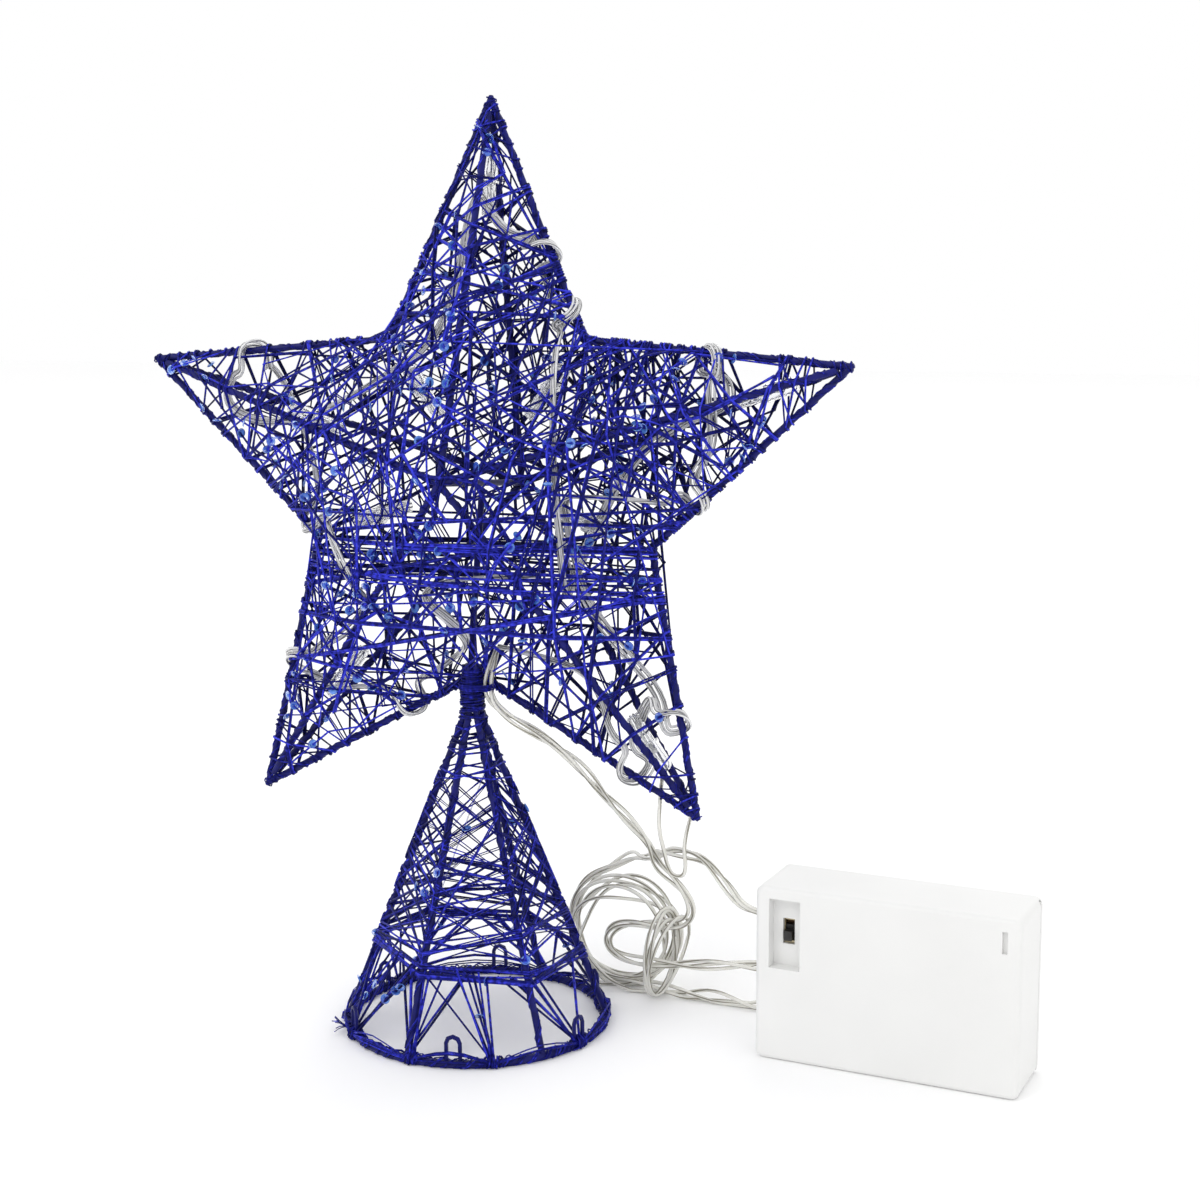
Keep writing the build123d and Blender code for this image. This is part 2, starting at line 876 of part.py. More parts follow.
def contact_plate(x, low, high):
    reach = plate_w * half
    return slab(
        x,
        x + plate_thick,
        cell_axis_depth - reach,
        cell_axis_depth + reach,
        cell_axis_height(low) - reach,
        cell_axis_height(high) + reach,
    )


def lead_bush():
    # The bush that holds the lead in the box's wall.
    wall = Plane(origin=(0, lead_hole_depth, lead_hole_height), z_dir=(1, 0, 0))
    shank_area = RegularPolygon(lead_hole_d * half - part_gap, bush_sides)
    shank = extrude(wall * shank_area, amount=case_wall + bush_flange_thick)
    out = Plane(origin=(-part_gap, lead_hole_depth, lead_hole_height), z_dir=(-1, 0, 0))
    flange = extrude(out * RegularPolygon(bush_flange_d * half, bush_sides), amount=bush_flange_thick)
    joint = extrude(out * shank_area, amount=-part_gap * 2)
    return shank + flange + joint


def box_point(x):
    # A point on the lead hole's axis, as far along the box as given.
    return (box_place * Pos(x, lead_hole_depth, lead_hole_height)).position


def save(name, shape):
    export_step(shape, os.path.join("parts", name + ".step"))


def vectors(points):
    return [Vector(*p) for p in points]


for number, wire in enumerate(outline_wires()):
    save("outline_wire_" + str(number + 1), on_star(wire))
for number in range(arm_count):
    save("front_ridge_" + str(number + 1), on_star(ridge_wire(number, 1)))
    save("rear_ridge_" + str(number + 1), on_star(ridge_wire(number, -1)))
save("apex_spacer", on_star(spacer_wire()))
save("stem", stem_wire())

save("base_ring", base_ring())
for number in range(leg_count):
    save("cone_leg_" + str(number + 1), cone_leg(number))
save("neck_binding", neck_binding())
save("ring_eyelets", Compound([eyelet(number) for number in range(leg_count)]))

discs = []
for number in range(arm_count):
    line = arm_winding(number)
    print("arm winding", number + 1, "gap", round(least_gap(line, thread_d), 2))
    save("arm_winding_" + str(number + 1), on_star(faceted_tube(line, thread_r, thread_sides)))
    discs += [on_star(disc) for disc in sequins_on(line, sequin_every * 2)]
line = waist_winding()
print("waist winding gap", round(least_gap(line, thread_d), 2))
save("waist_winding", on_star(faceted_tube(line, thread_r, thread_sides)))
line = cone_winding()
print("cone winding gap", round(least_gap(line, thread_d), 2))
save("cone_winding", faceted_tube(line, thread_r, thread_sides))
discs += sequins_on(line, sequin_every * sequin_every)
print("sequins", len(discs))
save("sequins", Compound(discs))

save("lamp_sleeves", Compound([on_star(lamp_sleeve(foot, way)) for foot, way in lamp_seats()]))
save("lamps", Compound([on_star(lamp(foot, way)) for foot, way in lamp_seats()]))
save("light_string", on_star(cord("light string", string_points(), string_d, string_sides)))

line = coil_line()
print("coil gap", round(least_gap(line, lead_d), 2))
save("lead_coil", faceted_tube(line, lead_d * half, lead_sides))
into_coil = line[0] - (line[1] - line[0]).normalized() * coil_run
low_line = [box_point(-bush_flange_thick - part_gap * 2), box_point(-coil_run)]
low_line += vectors(lead_low_points) + [into_coil, line[0]]
save("lead_low", cord("lead low", low_line, lead_d, lead_sides))
from_coil = line[-1] + (line[-1] - line[-2]).normalized() * coil_run
string_end = star_plane.from_local_coords(string_points()[0])
high_line = [line[-1], from_coil] + vectors(lead_high_points)
high_line += [beside_neck(neck_side_low), beside_neck(neck_side_high), string_end]
save("lead_high", cord("lead high", high_line, lead_d, lead_sides))
save("lead_tie", lead_tie())
save("slack_loop", cord("slack loop", vectors(slack_points), slack_d, thread_sides))

save("battery_case", box_place * battery_case())
save("battery_lid", box_place * battery_lid())
save("switch_frame", box_place * switch_frame())
save("switch_base", box_place * switch_base())
save("switch_knob", box_place * switch_knob())
save("aa_cells", box_place * Compound([aa_cell(number) for number in range(cell_count)]))
save("contact_springs", box_place * Compound([contact_spring(number) for number in range(cell_count)]))
plates = [contact_plate(plate_left, 0, 1), contact_plate(plate_left, 2, 2)]
plates += [contact_plate(plate_right - plate_thick, 1, 2), contact_plate(plate_right - plate_thick, 0, 0)]
save("contact_plates", box_place * Compound(plates))
save("lead_bush", box_place * lead_bush())
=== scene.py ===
import math
import random

import bpy
import numpy as np
from mathutils import Matrix, Vector


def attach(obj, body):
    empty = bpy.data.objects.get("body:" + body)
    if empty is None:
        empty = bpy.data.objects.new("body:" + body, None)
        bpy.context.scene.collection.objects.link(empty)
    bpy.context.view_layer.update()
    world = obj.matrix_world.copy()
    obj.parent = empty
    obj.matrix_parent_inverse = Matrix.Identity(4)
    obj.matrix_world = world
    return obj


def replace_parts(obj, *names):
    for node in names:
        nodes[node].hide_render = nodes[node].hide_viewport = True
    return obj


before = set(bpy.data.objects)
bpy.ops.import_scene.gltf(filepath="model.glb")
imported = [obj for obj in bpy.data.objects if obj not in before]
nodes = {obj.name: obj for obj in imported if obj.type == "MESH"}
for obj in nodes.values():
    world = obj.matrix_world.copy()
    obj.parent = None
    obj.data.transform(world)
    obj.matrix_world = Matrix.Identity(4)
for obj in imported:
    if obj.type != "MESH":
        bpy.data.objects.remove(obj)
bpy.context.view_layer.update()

mm = 0.001
fullTurn = 2 * math.pi
anyTurn = 6.28  # random starts round a wire
plainShade = 0.5  # shade of a tube that has no shade of its own
rootBody = "topper"

# camera at the photograph's place, square image
cameraSetup = {
    "place": (0.198966, -0.494910, 0.209387),
    "forward": (-0.30754, 0.93616, -0.17037),
    "roll": -0.0062,
    "lens": 60.557,
    "sensor": 36.0,
    "clip": (0.01, 50.0),
}


def show(name, data):
    item = bpy.data.objects.new(name, data)
    bpy.context.scene.collection.objects.link(item)
    return item


def makeCamera(setup):
    forward = Vector(setup["forward"]).normalized()
    level = forward.cross(Vector((0, 0, 1))).normalized()
    rise = level.cross(forward)
    c, s = math.cos(setup["roll"]), math.sin(setup["roll"])
    right = level * c + rise * s
    up = rise * c - level * s
    data = bpy.data.cameras.new("photoCamera")
    data.lens = setup["lens"]
    data.sensor_width = setup["sensor"]
    data.clip_start, data.clip_end = setup["clip"]
    cam = show("photoCamera", data)
    turn = Matrix((right, up, -forward)).transposed().to_4x4()
    cam.matrix_world = Matrix.Translation(setup["place"]) @ turn
    bpy.context.scene.camera = cam


makeCamera(cameraSetup)
print("camera set")

# soft studio: white surround, a large light above left, a weak one at the right and one behind
studio = {
    "floorSize": 6.0,
    "floor": {"Base Color": (0.98, 0.98, 0.98, 1), "Roughness": 0.9},
    "surround": {"Color": (1, 1, 1, 1), "Strength": 1.0},
    "lights": (
        {"name": "keyLight", "place": (-0.9, -1.2, 1.5), "size": 1.2, "power": 7.0},
        {"name": "fillLight", "place": (1.4, -1.0, 0.9), "size": 1.4, "power": 2.0},
        {"name": "backLight", "place": (0.2, 1.4, 1.5), "size": 1.6, "power": 5.0},
    ),
    "aim": (0.02, 0.0, 0.1),
}


def setValues(node, values):
    for key, value in values.items():
        node.inputs[key].default_value = value


def newMaterial(name, values):
    mat = bpy.data.materials.new(name)
    mat.use_nodes = True
    shader = mat.node_tree.nodes["Principled BSDF"]
    setValues(shader, values)
    return mat, mat.node_tree, shader


def makeStudio(setup):
    world = bpy.data.worlds.new("whiteSurround")
    world.use_nodes = True
    setValues(world.node_tree.nodes["Background"], setup["surround"])
    bpy.context.scene.world = world
    half = setup["floorSize"] / 2
    mesh = bpy.data.meshes.new("paleFloor")
    corners = [(-half, -half, 0), (half, -half, 0), (half, half, 0), (-half, half, 0)]
    mesh.from_pydata(corners, [], [(0, 1, 2, 3)])
    mesh.materials.append(newMaterial("paleFloor", setup["floor"])[0])
    floor = show("paleFloor", mesh)
    for spec in setup["lights"]:
        data = bpy.data.lights.new(spec["name"], "AREA")
        data.shape = "DISK"
        data.size = spec["size"]
        data.energy = spec["power"]
        lamp = show(spec["name"], data)
        lamp.location = spec["place"]
        way = Vector(setup["aim"]) - Vector(spec["place"])
        lamp.rotation_mode = "QUATERNION"
        lamp.rotation_quaternion = way.to_track_quat("-Z", "Y")


makeStudio(studio)
bpy.context.scene.view_settings.view_transform = "Standard"
print("studio lit")

# finishes: two shades with the scale of their mottling, shader values, and a grain (scale, strength, depth)
plainFinish = {"scale": 200, "grain": (1500, 0.15, 0.0001)}
finishes = {
    "bluePaintedWire": {
        "shades": ((0.003, 0.004, 0.07), (0.008, 0.010, 0.155)), "scale": 300,
        "values": {"Roughness": 0.4, "Specular IOR Level": 0.18}, "grain": (1200, 0.25, 0.0002),
    },
    "sequinFilm": {
        "shades": ((0.02, 0.07, 0.62), (0.16, 0.42, 1.0)), "scale": 260,
        "values": {"Roughness": 0.12, "Transmission Weight": 0.35, "Specular IOR Level": 0.7}, "grain": None,
    },
    "clearLens": {
        "shades": ((0.9118, 0.9212, 0.94), (0.97, 0.98, 1.0)), "scale": 150,
        "values": {"Roughness": 0.03, "Transmission Weight": 0.92, "IOR": 1.45}, "grain": (700, 0.25, 0.0006),
    },
    "clearTube": {
        "shades": ((0.893, 0.9024, 0.9118), (0.95, 0.96, 0.97)), "scale": 150,
        "values": {"Roughness": 0.04, "Transmission Weight": 0.93, "IOR": 1.45}, "grain": (700, 0.25, 0.0006),
    },
    "whitePlastic": {
        "shades": ((0.77, 0.77, 0.76), (0.80, 0.80, 0.79)), "scale": 40,
        "values": {"Roughness": 0.42}, "grain": (2200, 0.12, 0.0001),
    },
    "brassPlate": {
        "shades": ((0.30, 0.24, 0.14), (0.62, 0.54, 0.36)),
        "values": {"Roughness": 0.3, "Metallic": 0.9},
    },
    "brownBoard": {
        "shades": ((0.10, 0.05, 0.02), (0.20, 0.11, 0.05)),
        "values": {"Roughness": 0.5},
    },
    "blackPlastic": {
        "shades": ((0.006, 0.006, 0.006), (0.02, 0.02, 0.02)),
        "values": {"Roughness": 0.4},
    },
    "springSteel": {
        "shades": ((0.42, 0.42, 0.42), (0.72, 0.72, 0.72)),
        "values": {"Roughness": 0.28, "Metallic": 0.9},
    },
}
mottleEnds = (0.3, 0.7)
# thread ramp: its dark end is painted shade for the back threads, its light end a painted highlight that the
# flecks reach
threadFinish = {
    "shades": ((0.0, (0.002, 0.003, 0.036)), (0.55, (0.007, 0.0095, 0.195)), (1.0, (0.045, 0.055, 0.75))),
    "paintedGlint": 900,
    "paintedGlintSpread": 1.2,
    "values": {"Roughness": 0.4, "Specular IOR Level": 0.12},
    "grain": (2500, 0.5, 0.0001),
}
# strands: the dark end of each colour pair paints shade lines for the clear insulation's grey edges and dark
# reflections
strandFinish = {
    "silverStrand": ((0.16, 0.16, 0.165), (1.0, 1.0, 1.0)),
    "creamStrand": ((0.26, 0.245, 0.19), (0.98, 0.97, 0.91)),
    "paintedShadeLineEnds": (0.04, 0.30),
    "twist": (0.06, 1, 1),
    "wave": {"Scale": 0.2 * fullTurn, "Distortion": 0.6},
    "grain": (0.3, 0.0002),
    "values": {"Roughness": 0.15, "Transmission Weight": 0.35, "Coat Weight": 0.6, "Coat Roughness": 0.05},
}
cellFinish = {
    "body": (0.10, 0.12, 0.14),
    "end": (0.62, 0.62, 0.60),
    "endFrom": 0.72,
    "values": {"Roughness": 0.3, "Metallic": 0.6},
}


def addNode(tree, kind, values=None, **settings):
    node = tree.nodes.new("ShaderNode" + kind)
    for key, value in settings.items():
        setattr(node, key, value)
    setValues(node, values or {})
    return node


def join(tree, source, out, target, into):
    tree.links.new(source.outputs[out], target.inputs[into])


def noiseNode(tree, scale, detail=2.0):
    noise = addNode(tree, "TexNoise", {"Scale": scale, "Detail": detail})
    join(tree, addNode(tree, "TexCoord"), "Object", noise, "Vector")
    return noise


def rampInto(tree, shader, source, out, stops):
    # the shader's colour follows a value through these (position, colour) stops
    ramp = addNode(tree, "ValToRGB")
    marks = ramp.color_ramp.elements
    while len(marks) < len(stops):
        marks.new(0.5)
    for mark, (position, colour) in zip(marks, stops):
        mark.position, mark.color = position, (*colour, 1)
    join(tree, source, out, ramp, "Fac")
    join(tree, ramp, "Color", shader, "Base Color")
    return ramp.color_ramp


def bumpInto(tree, shader, source, strength, depth):
    bump = addNode(tree, "Bump", {"Strength": strength, "Distance": depth})
    join(tree, source, "Fac", bump, "Height")
    join(tree, bump, "Normal", shader, "Normal")


def grainInto(tree, shader, scale, strength, depth):
    bumpInto(tree, shader, noiseNode(tree, scale), strength, depth)


def mottledMaterial(name, finish):
    finish = plainFinish | finish
    mat, tree, shader = newMaterial(name, finish["values"])
    rampInto(tree, shader, noiseNode(tree, finish["scale"]), "Fac", list(zip(mottleEnds, finish["shades"])))
    if finish["grain"]:
        grainInto(tree, shader, *finish["grain"])
    return mat


def threadMaterial(finish):
    # glossy film yarn: each length its own shade, which on the back threads is painted shade; the light
    # flecks along it are painted highlights
    mat, tree, shader = newMaterial("blueThread", finish["values"])
    shade = addNode(tree, "Attribute", attribute_name="shade")
    # painted highlights: noise flecks lift the shade along each thread
    spread = finish["paintedGlintSpread"]
    paintedGlint = addNode(tree, "Math", {1: spread, 2: -spread / 2}, operation="MULTIPLY_ADD")
    total = addNode(tree, "Math", operation="ADD")
    join(tree, noiseNode(tree, finish["paintedGlint"], 1), "Fac", paintedGlint, 0)
    join(tree, paintedGlint, 0, total, 0)
    join(tree, shade, "Fac", total, 1)
    rampInto(tree, shader, total, 0, finish["shades"])
    grainInto(tree, shader, *finish["grain"])
    return mat


def strandMaterial(name, finish):
    # bright strand in clear plastic: painted dark lines, which stand for the insulation's grey edges and dark
    # reflections, run along it in a slow twist
    mat, tree, shader = newMaterial(name, finish["values"])
    place = addNode(tree, "Mapping", {"Scale": finish["twist"]})
    wave = addNode(tree, "TexWave", finish["wave"], wave_type="BANDS", bands_direction="DIAGONAL")
    join(tree, addNode(tree, "UVMap"), "UV", place, "Vector")
    join(tree, place, "Vector", wave, "Vector")
    rampInto(tree, shader, wave, "Fac", list(zip(finish["paintedShadeLineEnds"], finish[name])))
    bumpInto(tree, shader, wave, *finish["grain"])
    return mat


def cellMaterial(finish):
    # plain grey jacket with a bright band at one end of the row
    mat, tree, shader = newMaterial("cellJacket", finish["values"])
    split = addNode(tree, "SeparateXYZ")
    join(tree, addNode(tree, "TexCoord"), "Generated", split, 0)
    stops = ((0.0, finish["body"]), (finish["endFrom"], finish["end"]))
    rampInto(tree, shader, split, "X", stops).interpolation = "CONSTANT"
    return mat


made = {name: mottledMaterial(name, finish) for name, finish in finishes.items()}
made["cellJacket"] = cellMaterial(cellFinish)
blueThread = threadMaterial(threadFinish)
silverStrand = strandMaterial("silverStrand", strandFinish)
creamStrand = strandMaterial("creamStrand", strandFinish)
print("materials made")


def numbered(stem, count):
    return [f"{stem}_{i + 1}" for i in range(count)]


# finish of each CAD node that stays in view
painted = {
    "bluePaintedWire": numbered("outline_wire", 10) + numbered("front_ridge", 5) + numbered("rear_ridge", 5)
    + numbered("cone_leg", 6) + ["apex_spacer", "stem", "base_ring", "ring_eyelets"],
    "whitePlastic": ["battery_case", "battery_lid", "lead_bush"],
    "brassPlate": ["switch_frame"],
    "brownBoard": ["switch_base"],
    "blackPlastic": ["switch_knob"],
    "springSteel": ["contact_springs", "contact_plates"],
    "cellJacket": ["aa_cells"],
}
for finishName, nodeNames in painted.items():
    for nodeName in nodeNames:
        nodes[nodeName].data.materials.clear()
        nodes[nodeName].data.materials.append(made[finishName])


# tubes and turned shapes
def unit(v):
    return v / np.linalg.norm(v)


def crossAxes(way, main=2):
    # two axes square to this direction
    helper = np.eye(3)[main if abs(way[main]) < 0.9 else 0]
    a = unit(np.cross(way, helper))
    return a, np.cross(way, a)


def tubeFrames(points):
    # two cross axes at each point, carried along without twist
    steps = np.diff(points, axis=0)
    steps /= np.linalg.norm(steps, axis=1)[:, None]
    ways = np.vstack([steps[:1], steps[:-1] + steps[1:], steps[-1:]])
    ways /= np.linalg.norm(ways, axis=1)[:, None]
    side = crossAxes(ways[0])[0]
    sides = []
    for way in ways:
        side = unit(side - way * side.dot(way))
        sides.append(side)
    sides = np.array(sides)
    return sides, np.cross(ways, sides)


def runAlong(line):
    return np.concatenate([[0], np.cumsum(np.linalg.norm(np.diff(line, axis=0), axis=1))])


def lengthOf(line):
    return float(np.linalg.norm(np.diff(line, axis=0), axis=1).sum())


def ringFaces(base, rows, count):
    # faces between rings, then both end caps
    faces = []
    for low in range(base, base + (rows - 1) * count, count):
        for k in range(count):
            m = (k + 1) % count
            faces.append((low + k, low + m, low + count + m, low + count + k))
    last = base + (rows - 1) * count
    return faces + [tuple(range(base + count - 1, base - 1, -1)), tuple(range(last, last + count))]


def ringVerts(centres, a, b, radii, count):
    # rings of points about these centres, across the axes a and b
    turns = (np.arange(count) * fullTurn / count)[:, None]
    around = a[..., None, :] * np.cos(turns) + b[..., None, :] * np.sin(turns)
    return (centres[:, None, :] + np.reshape(radii, (-1, 1, 1)) * around).reshape(-1, 3)


def meshPiece(name, verts, faces, mat, flatCaps=False):
    mesh = bpy.data.meshes.new(name)
    mesh.from_pydata(np.asarray(verts).tolist(), [], faces)
    smooth = [not flatCaps or len(face) == 4 for face in faces]
    mesh.polygons.foreach_set("use_smooth", smooth)
    mesh.update()
    mesh.materials.append(mat)
    piece = show(name, mesh)
    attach(piece, rootBody)
    return piece


def tubePiece(name, paths, count, mat):
    # many tubes as one piece; each path is (points, radius, shade)
    verts, faces, shades, uvs = [], [], [], []
    for points, radius, shade in paths:
        faces += ringFaces(len(shades), len(points), count)
        verts.append(ringVerts(points, *tubeFrames(points), radius, count))
        shades += [shade] * (len(points) * count)
        run = runAlong(points) / (fullTurn * radius)
        for low, high in zip(run, run[1:]):
            for k in range(count):
                v0, v1 = k / count, (k + 1) / count
                uvs += [(low, v0), (low, v1), (high, v1), (high, v0)]
        uvs += [(run[0], 0)] * count + [(run[-1], 0)] * count
    piece = meshPiece(name, np.vstack(verts), faces, mat)
    attribute = piece.data.attributes.new("shade", "FLOAT", "POINT")
    attribute.data.foreach_set("value", np.array(shades, np.float32))
    layer = piece.data.uv_layers.new(name="UVMap")
    layer.data.foreach_set("uv", np.array(uvs, np.float32).ravel())
    return piece


def splinePoints(points, resolution=6):
    # points of the smooth NURBS line that these control points give
    curve = bpy.data.curves.new("routeLine", "CURVE")
    curve.dimensions = "3D"
    spline = curve.splines.new("NURBS")
    spline.points.add(len(points) - 1)
    for spot, p in zip(spline.points, points):
        spot.co = (*p, 1)
    spline.order_u = 3
    spline.use_endpoint_u = True
    spline.resolution_u = resolution
    holder = show("routeLine", curve)
    bpy.context.view_layer.update()
    mesh = bpy.data.meshes.new_from_object(holder.evaluated_get(bpy.context.evaluated_depsgraph_get()))
    line = np.array([v.co[:] for v in mesh.vertices])
    bpy.data.objects.remove(holder)
    bpy.data.curves.remove(curve)
    bpy.data.meshes.remove(mesh)
    return line


# lead between the battery box and the star, with its loose coil
leadWire = {
    "boxCorner": (79.7, -4.1),
    "boxTurn": 7.3,
    "holeDepth": 13.0,
    "holeHeight": 35.0,
    "boxRuns": (-1.1, -8.0),
    "low": (
        (67.8, 12.0, 40.6), (61.0, 13.8, 46.8), (54.3, 16.0, 47.6), (48.3, 19.8, 46.6), (40.0, 31.5, 40.5),
    ),
    "coilSteps": 30,
    "coilPoints": 12,
    "coilRadius": 17.2,
    "coilRadiusStep": 1.5,
    "coilPitch": 3.0,
    "coilCentre": 31.0,
    "coilBack": 40.5,
    "coilStart": 105.0,
    "coilLift": 1.1,
    "run": 8.0,
    "high": (
        (56.5, 31.5, 1.2), (72.0, 29.0, 1.2), (88.0, 28.0, 1.3), (102.0, 28.0, 2.2), (112.0, 28.0, 8.0),
        (113.0, 27.5, 17.0), (105.0, 27.0, 22.0), (94.0, 26.5, 18.5), (84.0, 26.2, 14.3), (71.5, 26.5, 13.4),
        (57.0, 27.0, 12.0), (44.5, 27.8, 11.0), (36.0, 28.6, 10.6), (30.2, 29.0, 12.6), (28.2, 29.2, 16.4),
        (30.6, 29.2, 20.2), (36.8, 29.0, 22.0), (45.0, 28.6, 21.8), (51.8, 28.0, 23.2), (54.5, 26.5, 28.5),
        (50.5, 24.5, 35.5), (45.2, 22.0, 41.5), (43.5, 19.0, 49.0), (40.0, 16.0, 54.5), (34.0, 12.0, 63.0),
        (27.5, 5.5, 74.0), (18.5, -0.5, 82.5), (10.0, -0.4, 86.2),
    ),
    "neckSide": 4.55,
    "neckHeights": (90.5, 97.5),
    "starEnd": (6.575, 2.253, 104.904),
    "diameter": 2.1,
    "sides": 10,
    "strands": 3,
    "strandRadius": 0.52,
    "floorGap": 0.05,
    "tight": 0.58,
    "apart": 1.0,
    "coilApart": 2.0,
    "coilShare": 0.45,
    "coilWidth": 0.2,
    "tightRun": 14.0,
    "twist": 46.0,
    "sway": 0.6,
    "swayRun": 17,
    "swayStep": 2,
    "hank": {
        "foot": (42.5, 28.2, 1.2),
        "face": 38.0,
        "widths": (3.2, 4.8, 3.6, 5.2, 4.0),
        "heights": (11.2, 12.8, 11.8, 13.2, 12.4),
        "leans": (0.30, 0.10, 0.34, 0.18, 0.05),
        "shifts": (-1.5, 0.4, 1.2, -0.6, 1.8),
        "sides": 24,
        "start": 0.6,
    },
    "slack": (
        (52.2, 3.8, 72.0), (51.2, 4.8, 64.5), (50.2, 7.0, 56.5), (50.6, 10.8, 49.5), (50.9, 13.0, 44.6),
        (52.0, 14.0, 41.6), (55.0, 14.0, 41.4), (56.3, 12.8, 44.4), (56.6, 9.0, 51.5), (59.2, 5.0, 59.5),
        (61.2, 3.8, 65.0),
    ),
    "slackDiameter": 1.1,
}


def leadRoute(setup):
    turn = math.radians(setup["boxTurn"])
    route = []
    for run in setup["boxRuns"]:
        x = setup["boxCorner"][0] + run * math.cos(turn) + setup["holeDepth"] * math.sin(turn)
        y = setup["boxCorner"][1] - run * math.sin(turn) + setup["holeDepth"] * math.cos(turn)
        route.append(np.array((x, y, setup["holeHeight"])))
    route += [np.array(p) for p in setup["low"]]
    coil = []
    for step in range(setup["coilSteps"] + 1):
        share = step / setup["coilPoints"]
        radius = setup["coilRadius"] - setup["coilRadiusStep"] * share
        angle = math.radians(setup["coilStart"]) + fullTurn * share
        x = setup["coilCentre"] + radius * math.cos(angle)
        z = radius * (math.cos(math.pi / setup["coilPoints"]) + math.sin(angle)) + setup["coilLift"]
        coil.append(np.array((x, setup["coilBack"] - setup["coilPitch"] * share, z)))
    route.append(coil[0] - unit(coil[1] - coil[0]) * setup["run"])
    route += coil
    route.append(coil[-1] + unit(coil[-1] - coil[-2]) * setup["run"])
    route += [np.array(p) for p in setup["high"]]
    route += [np.array((setup["neckSide"], 0, z)) for z in setup["neckHeights"]]
    route.append(np.array(setup["starEnd"]))
    return np.array(route) * mm


def leadStrands(line, setup):
    # loose strands about the lead's line, tight at both ends and widest in the coil
    a, b = tubeFrames(line)
    run = runAlong(line) / mm
    ends = np.clip(np.minimum(run, run[-1] - run) / setup["tightRun"], 0.0, 1.0)
    middle = np.exp(-((run / run[-1] - setup["coilShare"]) / setup["coilWidth"]) ** 2)
    tight, apart, radius = setup["tight"], setup["apart"], setup["strandRadius"]
    wide = tight + (apart - tight) * ends + (setup["coilApart"] - apart) * middle
    paths = []
    for k in range(setup["strands"]):
        sway = setup["sway"] * np.sin(run / setup["swayRun"] + setup["swayStep"] * k)
        turn = fullTurn * (k / setup["strands"] + run / setup["twist"]) + sway
        strand = line + ((a * np.cos(turn)[:, None] + b * np.sin(turn)[:, None]) * wide[:, None]) * mm
        strand[:, 2] = np.maximum(strand[:, 2], (radius + setup["floorGap"]) * mm)
        paths.append((strand, radius * mm, plainShade))
    return paths


def hankTurns(setup):
    # loose upright turns round the gathered loops, no two of a size
    hank = setup["hank"]
    face = math.radians(hank["face"])
    marks = np.arange(len(hank["widths"]))
    x, y, z = hank["foot"]
    line = []
    for k in range(hank["sides"] * (len(marks) - 1) + 1):
        share = k / hank["sides"]
        width, height, lean, shift = (float(np.interp(share, marks, hank[key]))
                                      for key in ("widths", "heights", "leans", "shifts"))
        turn = fullTurn * share + hank["start"]
        rise = height * (1 + math.sin(turn))
        across = width * math.cos(turn)
        spot = (x + shift + lean * rise + across * math.cos(face), y + across * math.sin(face), z + rise)
        line.append(spot)
    return [(np.array(line) * mm, setup["strandRadius"] * mm, plainShade)]


def makeLead(setup):
    line = splinePoints(leadRoute(setup))
    sides = setup["sides"]
    lead = tubePiece("lead_wire", leadStrands(line, setup), sides, creamStrand)
    turns = tubePiece("hank_turns", hankTurns(setup), sides, creamStrand)
    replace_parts(lead, "lead_low", "lead_coil", "lead_high")
    loop = splinePoints(np.array(setup["slack"]) * mm)
    paths = [(loop, setup["slackDiameter"] * mm / 2, plainShade)]
    slack = tubePiece("slack_wire", paths, sides, creamStrand)
    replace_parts(slack, "slack_loop")
    print("lead", round(lengthOf(line), 4), "slack", round(lengthOf(loop), 4))


makeLead(leadWire)

# the star's own plane: across, up along the lean, and out to the front
star = {
    "tips": (102.0, 104.5, 106.5, 106.5, 104.5),
    "valleys": (47.5, 50.5, 51.5, 50.5, 47.5),
    "apex": 30.5,
    "wire": 0.9,
    "centre": (0.0, 9.883, 148.0),
    "lean": 6.0,
}
armCount, armTurn = 5, 72
firstTip, firstValley, firstArm = 90, 126, 54
leanTurn = math.radians(star["lean"])
starAcross = np.array((1.0, 0, 0))
starUp = np.array((0, math.sin(leanTurn), math.cos(leanTurn)))
starOut = np.array((0, -math.cos(leanTurn), math.sin(leanTurn)))
starCentre = np.array(star["centre"])


def onStar(u, w, n):
    return (starCentre + starAcross * u + starUp * w + starOut * n) * mm


def flat(line):
    # a line of the world in the star's own plane, mm
    return (line / mm - starCentre) @ np.array((starAcross, starUp, starOut)).T


def spoke(radius, degrees):
    turn = math.radians(degrees)
    return np.array((radius * math.cos(turn), radius * math.sin(turn)))


starTips = [spoke(r, firstTip + armTurn * i) for i, r in enumerate(star["tips"])]
starValleys = [spoke(r, firstValley + armTurn * i) for i, r in enumerate(star["valleys"])]
outlineLoop = np.array([p for pair in zip(starTips, starValleys) for p in pair])


def edgeEnds(arm, hand):
    return starTips[arm], starValleys[arm if hand > 0 else (arm - 1) % armCount]


def edgePoint(arm, hand, share):
    near, far = edgeEnds(arm, hand)
    return near + (far - near) * share


def edgeOut(arm, hand):
    near, far = edgeEnds(arm, hand)
    along = unit(far - near)
    out = np.array((along[1], -along[0]))
    return out if out.dot(starTips[arm]) > 0 else -out


def insideStar(spots):
    # which of these points of the star's plane lie within its outline
    x, y = spots[:, 0], spots[:, 1]
    inside = np.zeros(len(spots), bool)
    for a, b in zip(outlineLoop, np.roll(outlineLoop, -1, axis=0)):
        at = (b[0] - a[0]) * (y - a[1]) / (b[1] - a[1]) + a[0]
        inside ^= ((a[1] > y) != (b[1] > y)) & (x < at)
    return inside


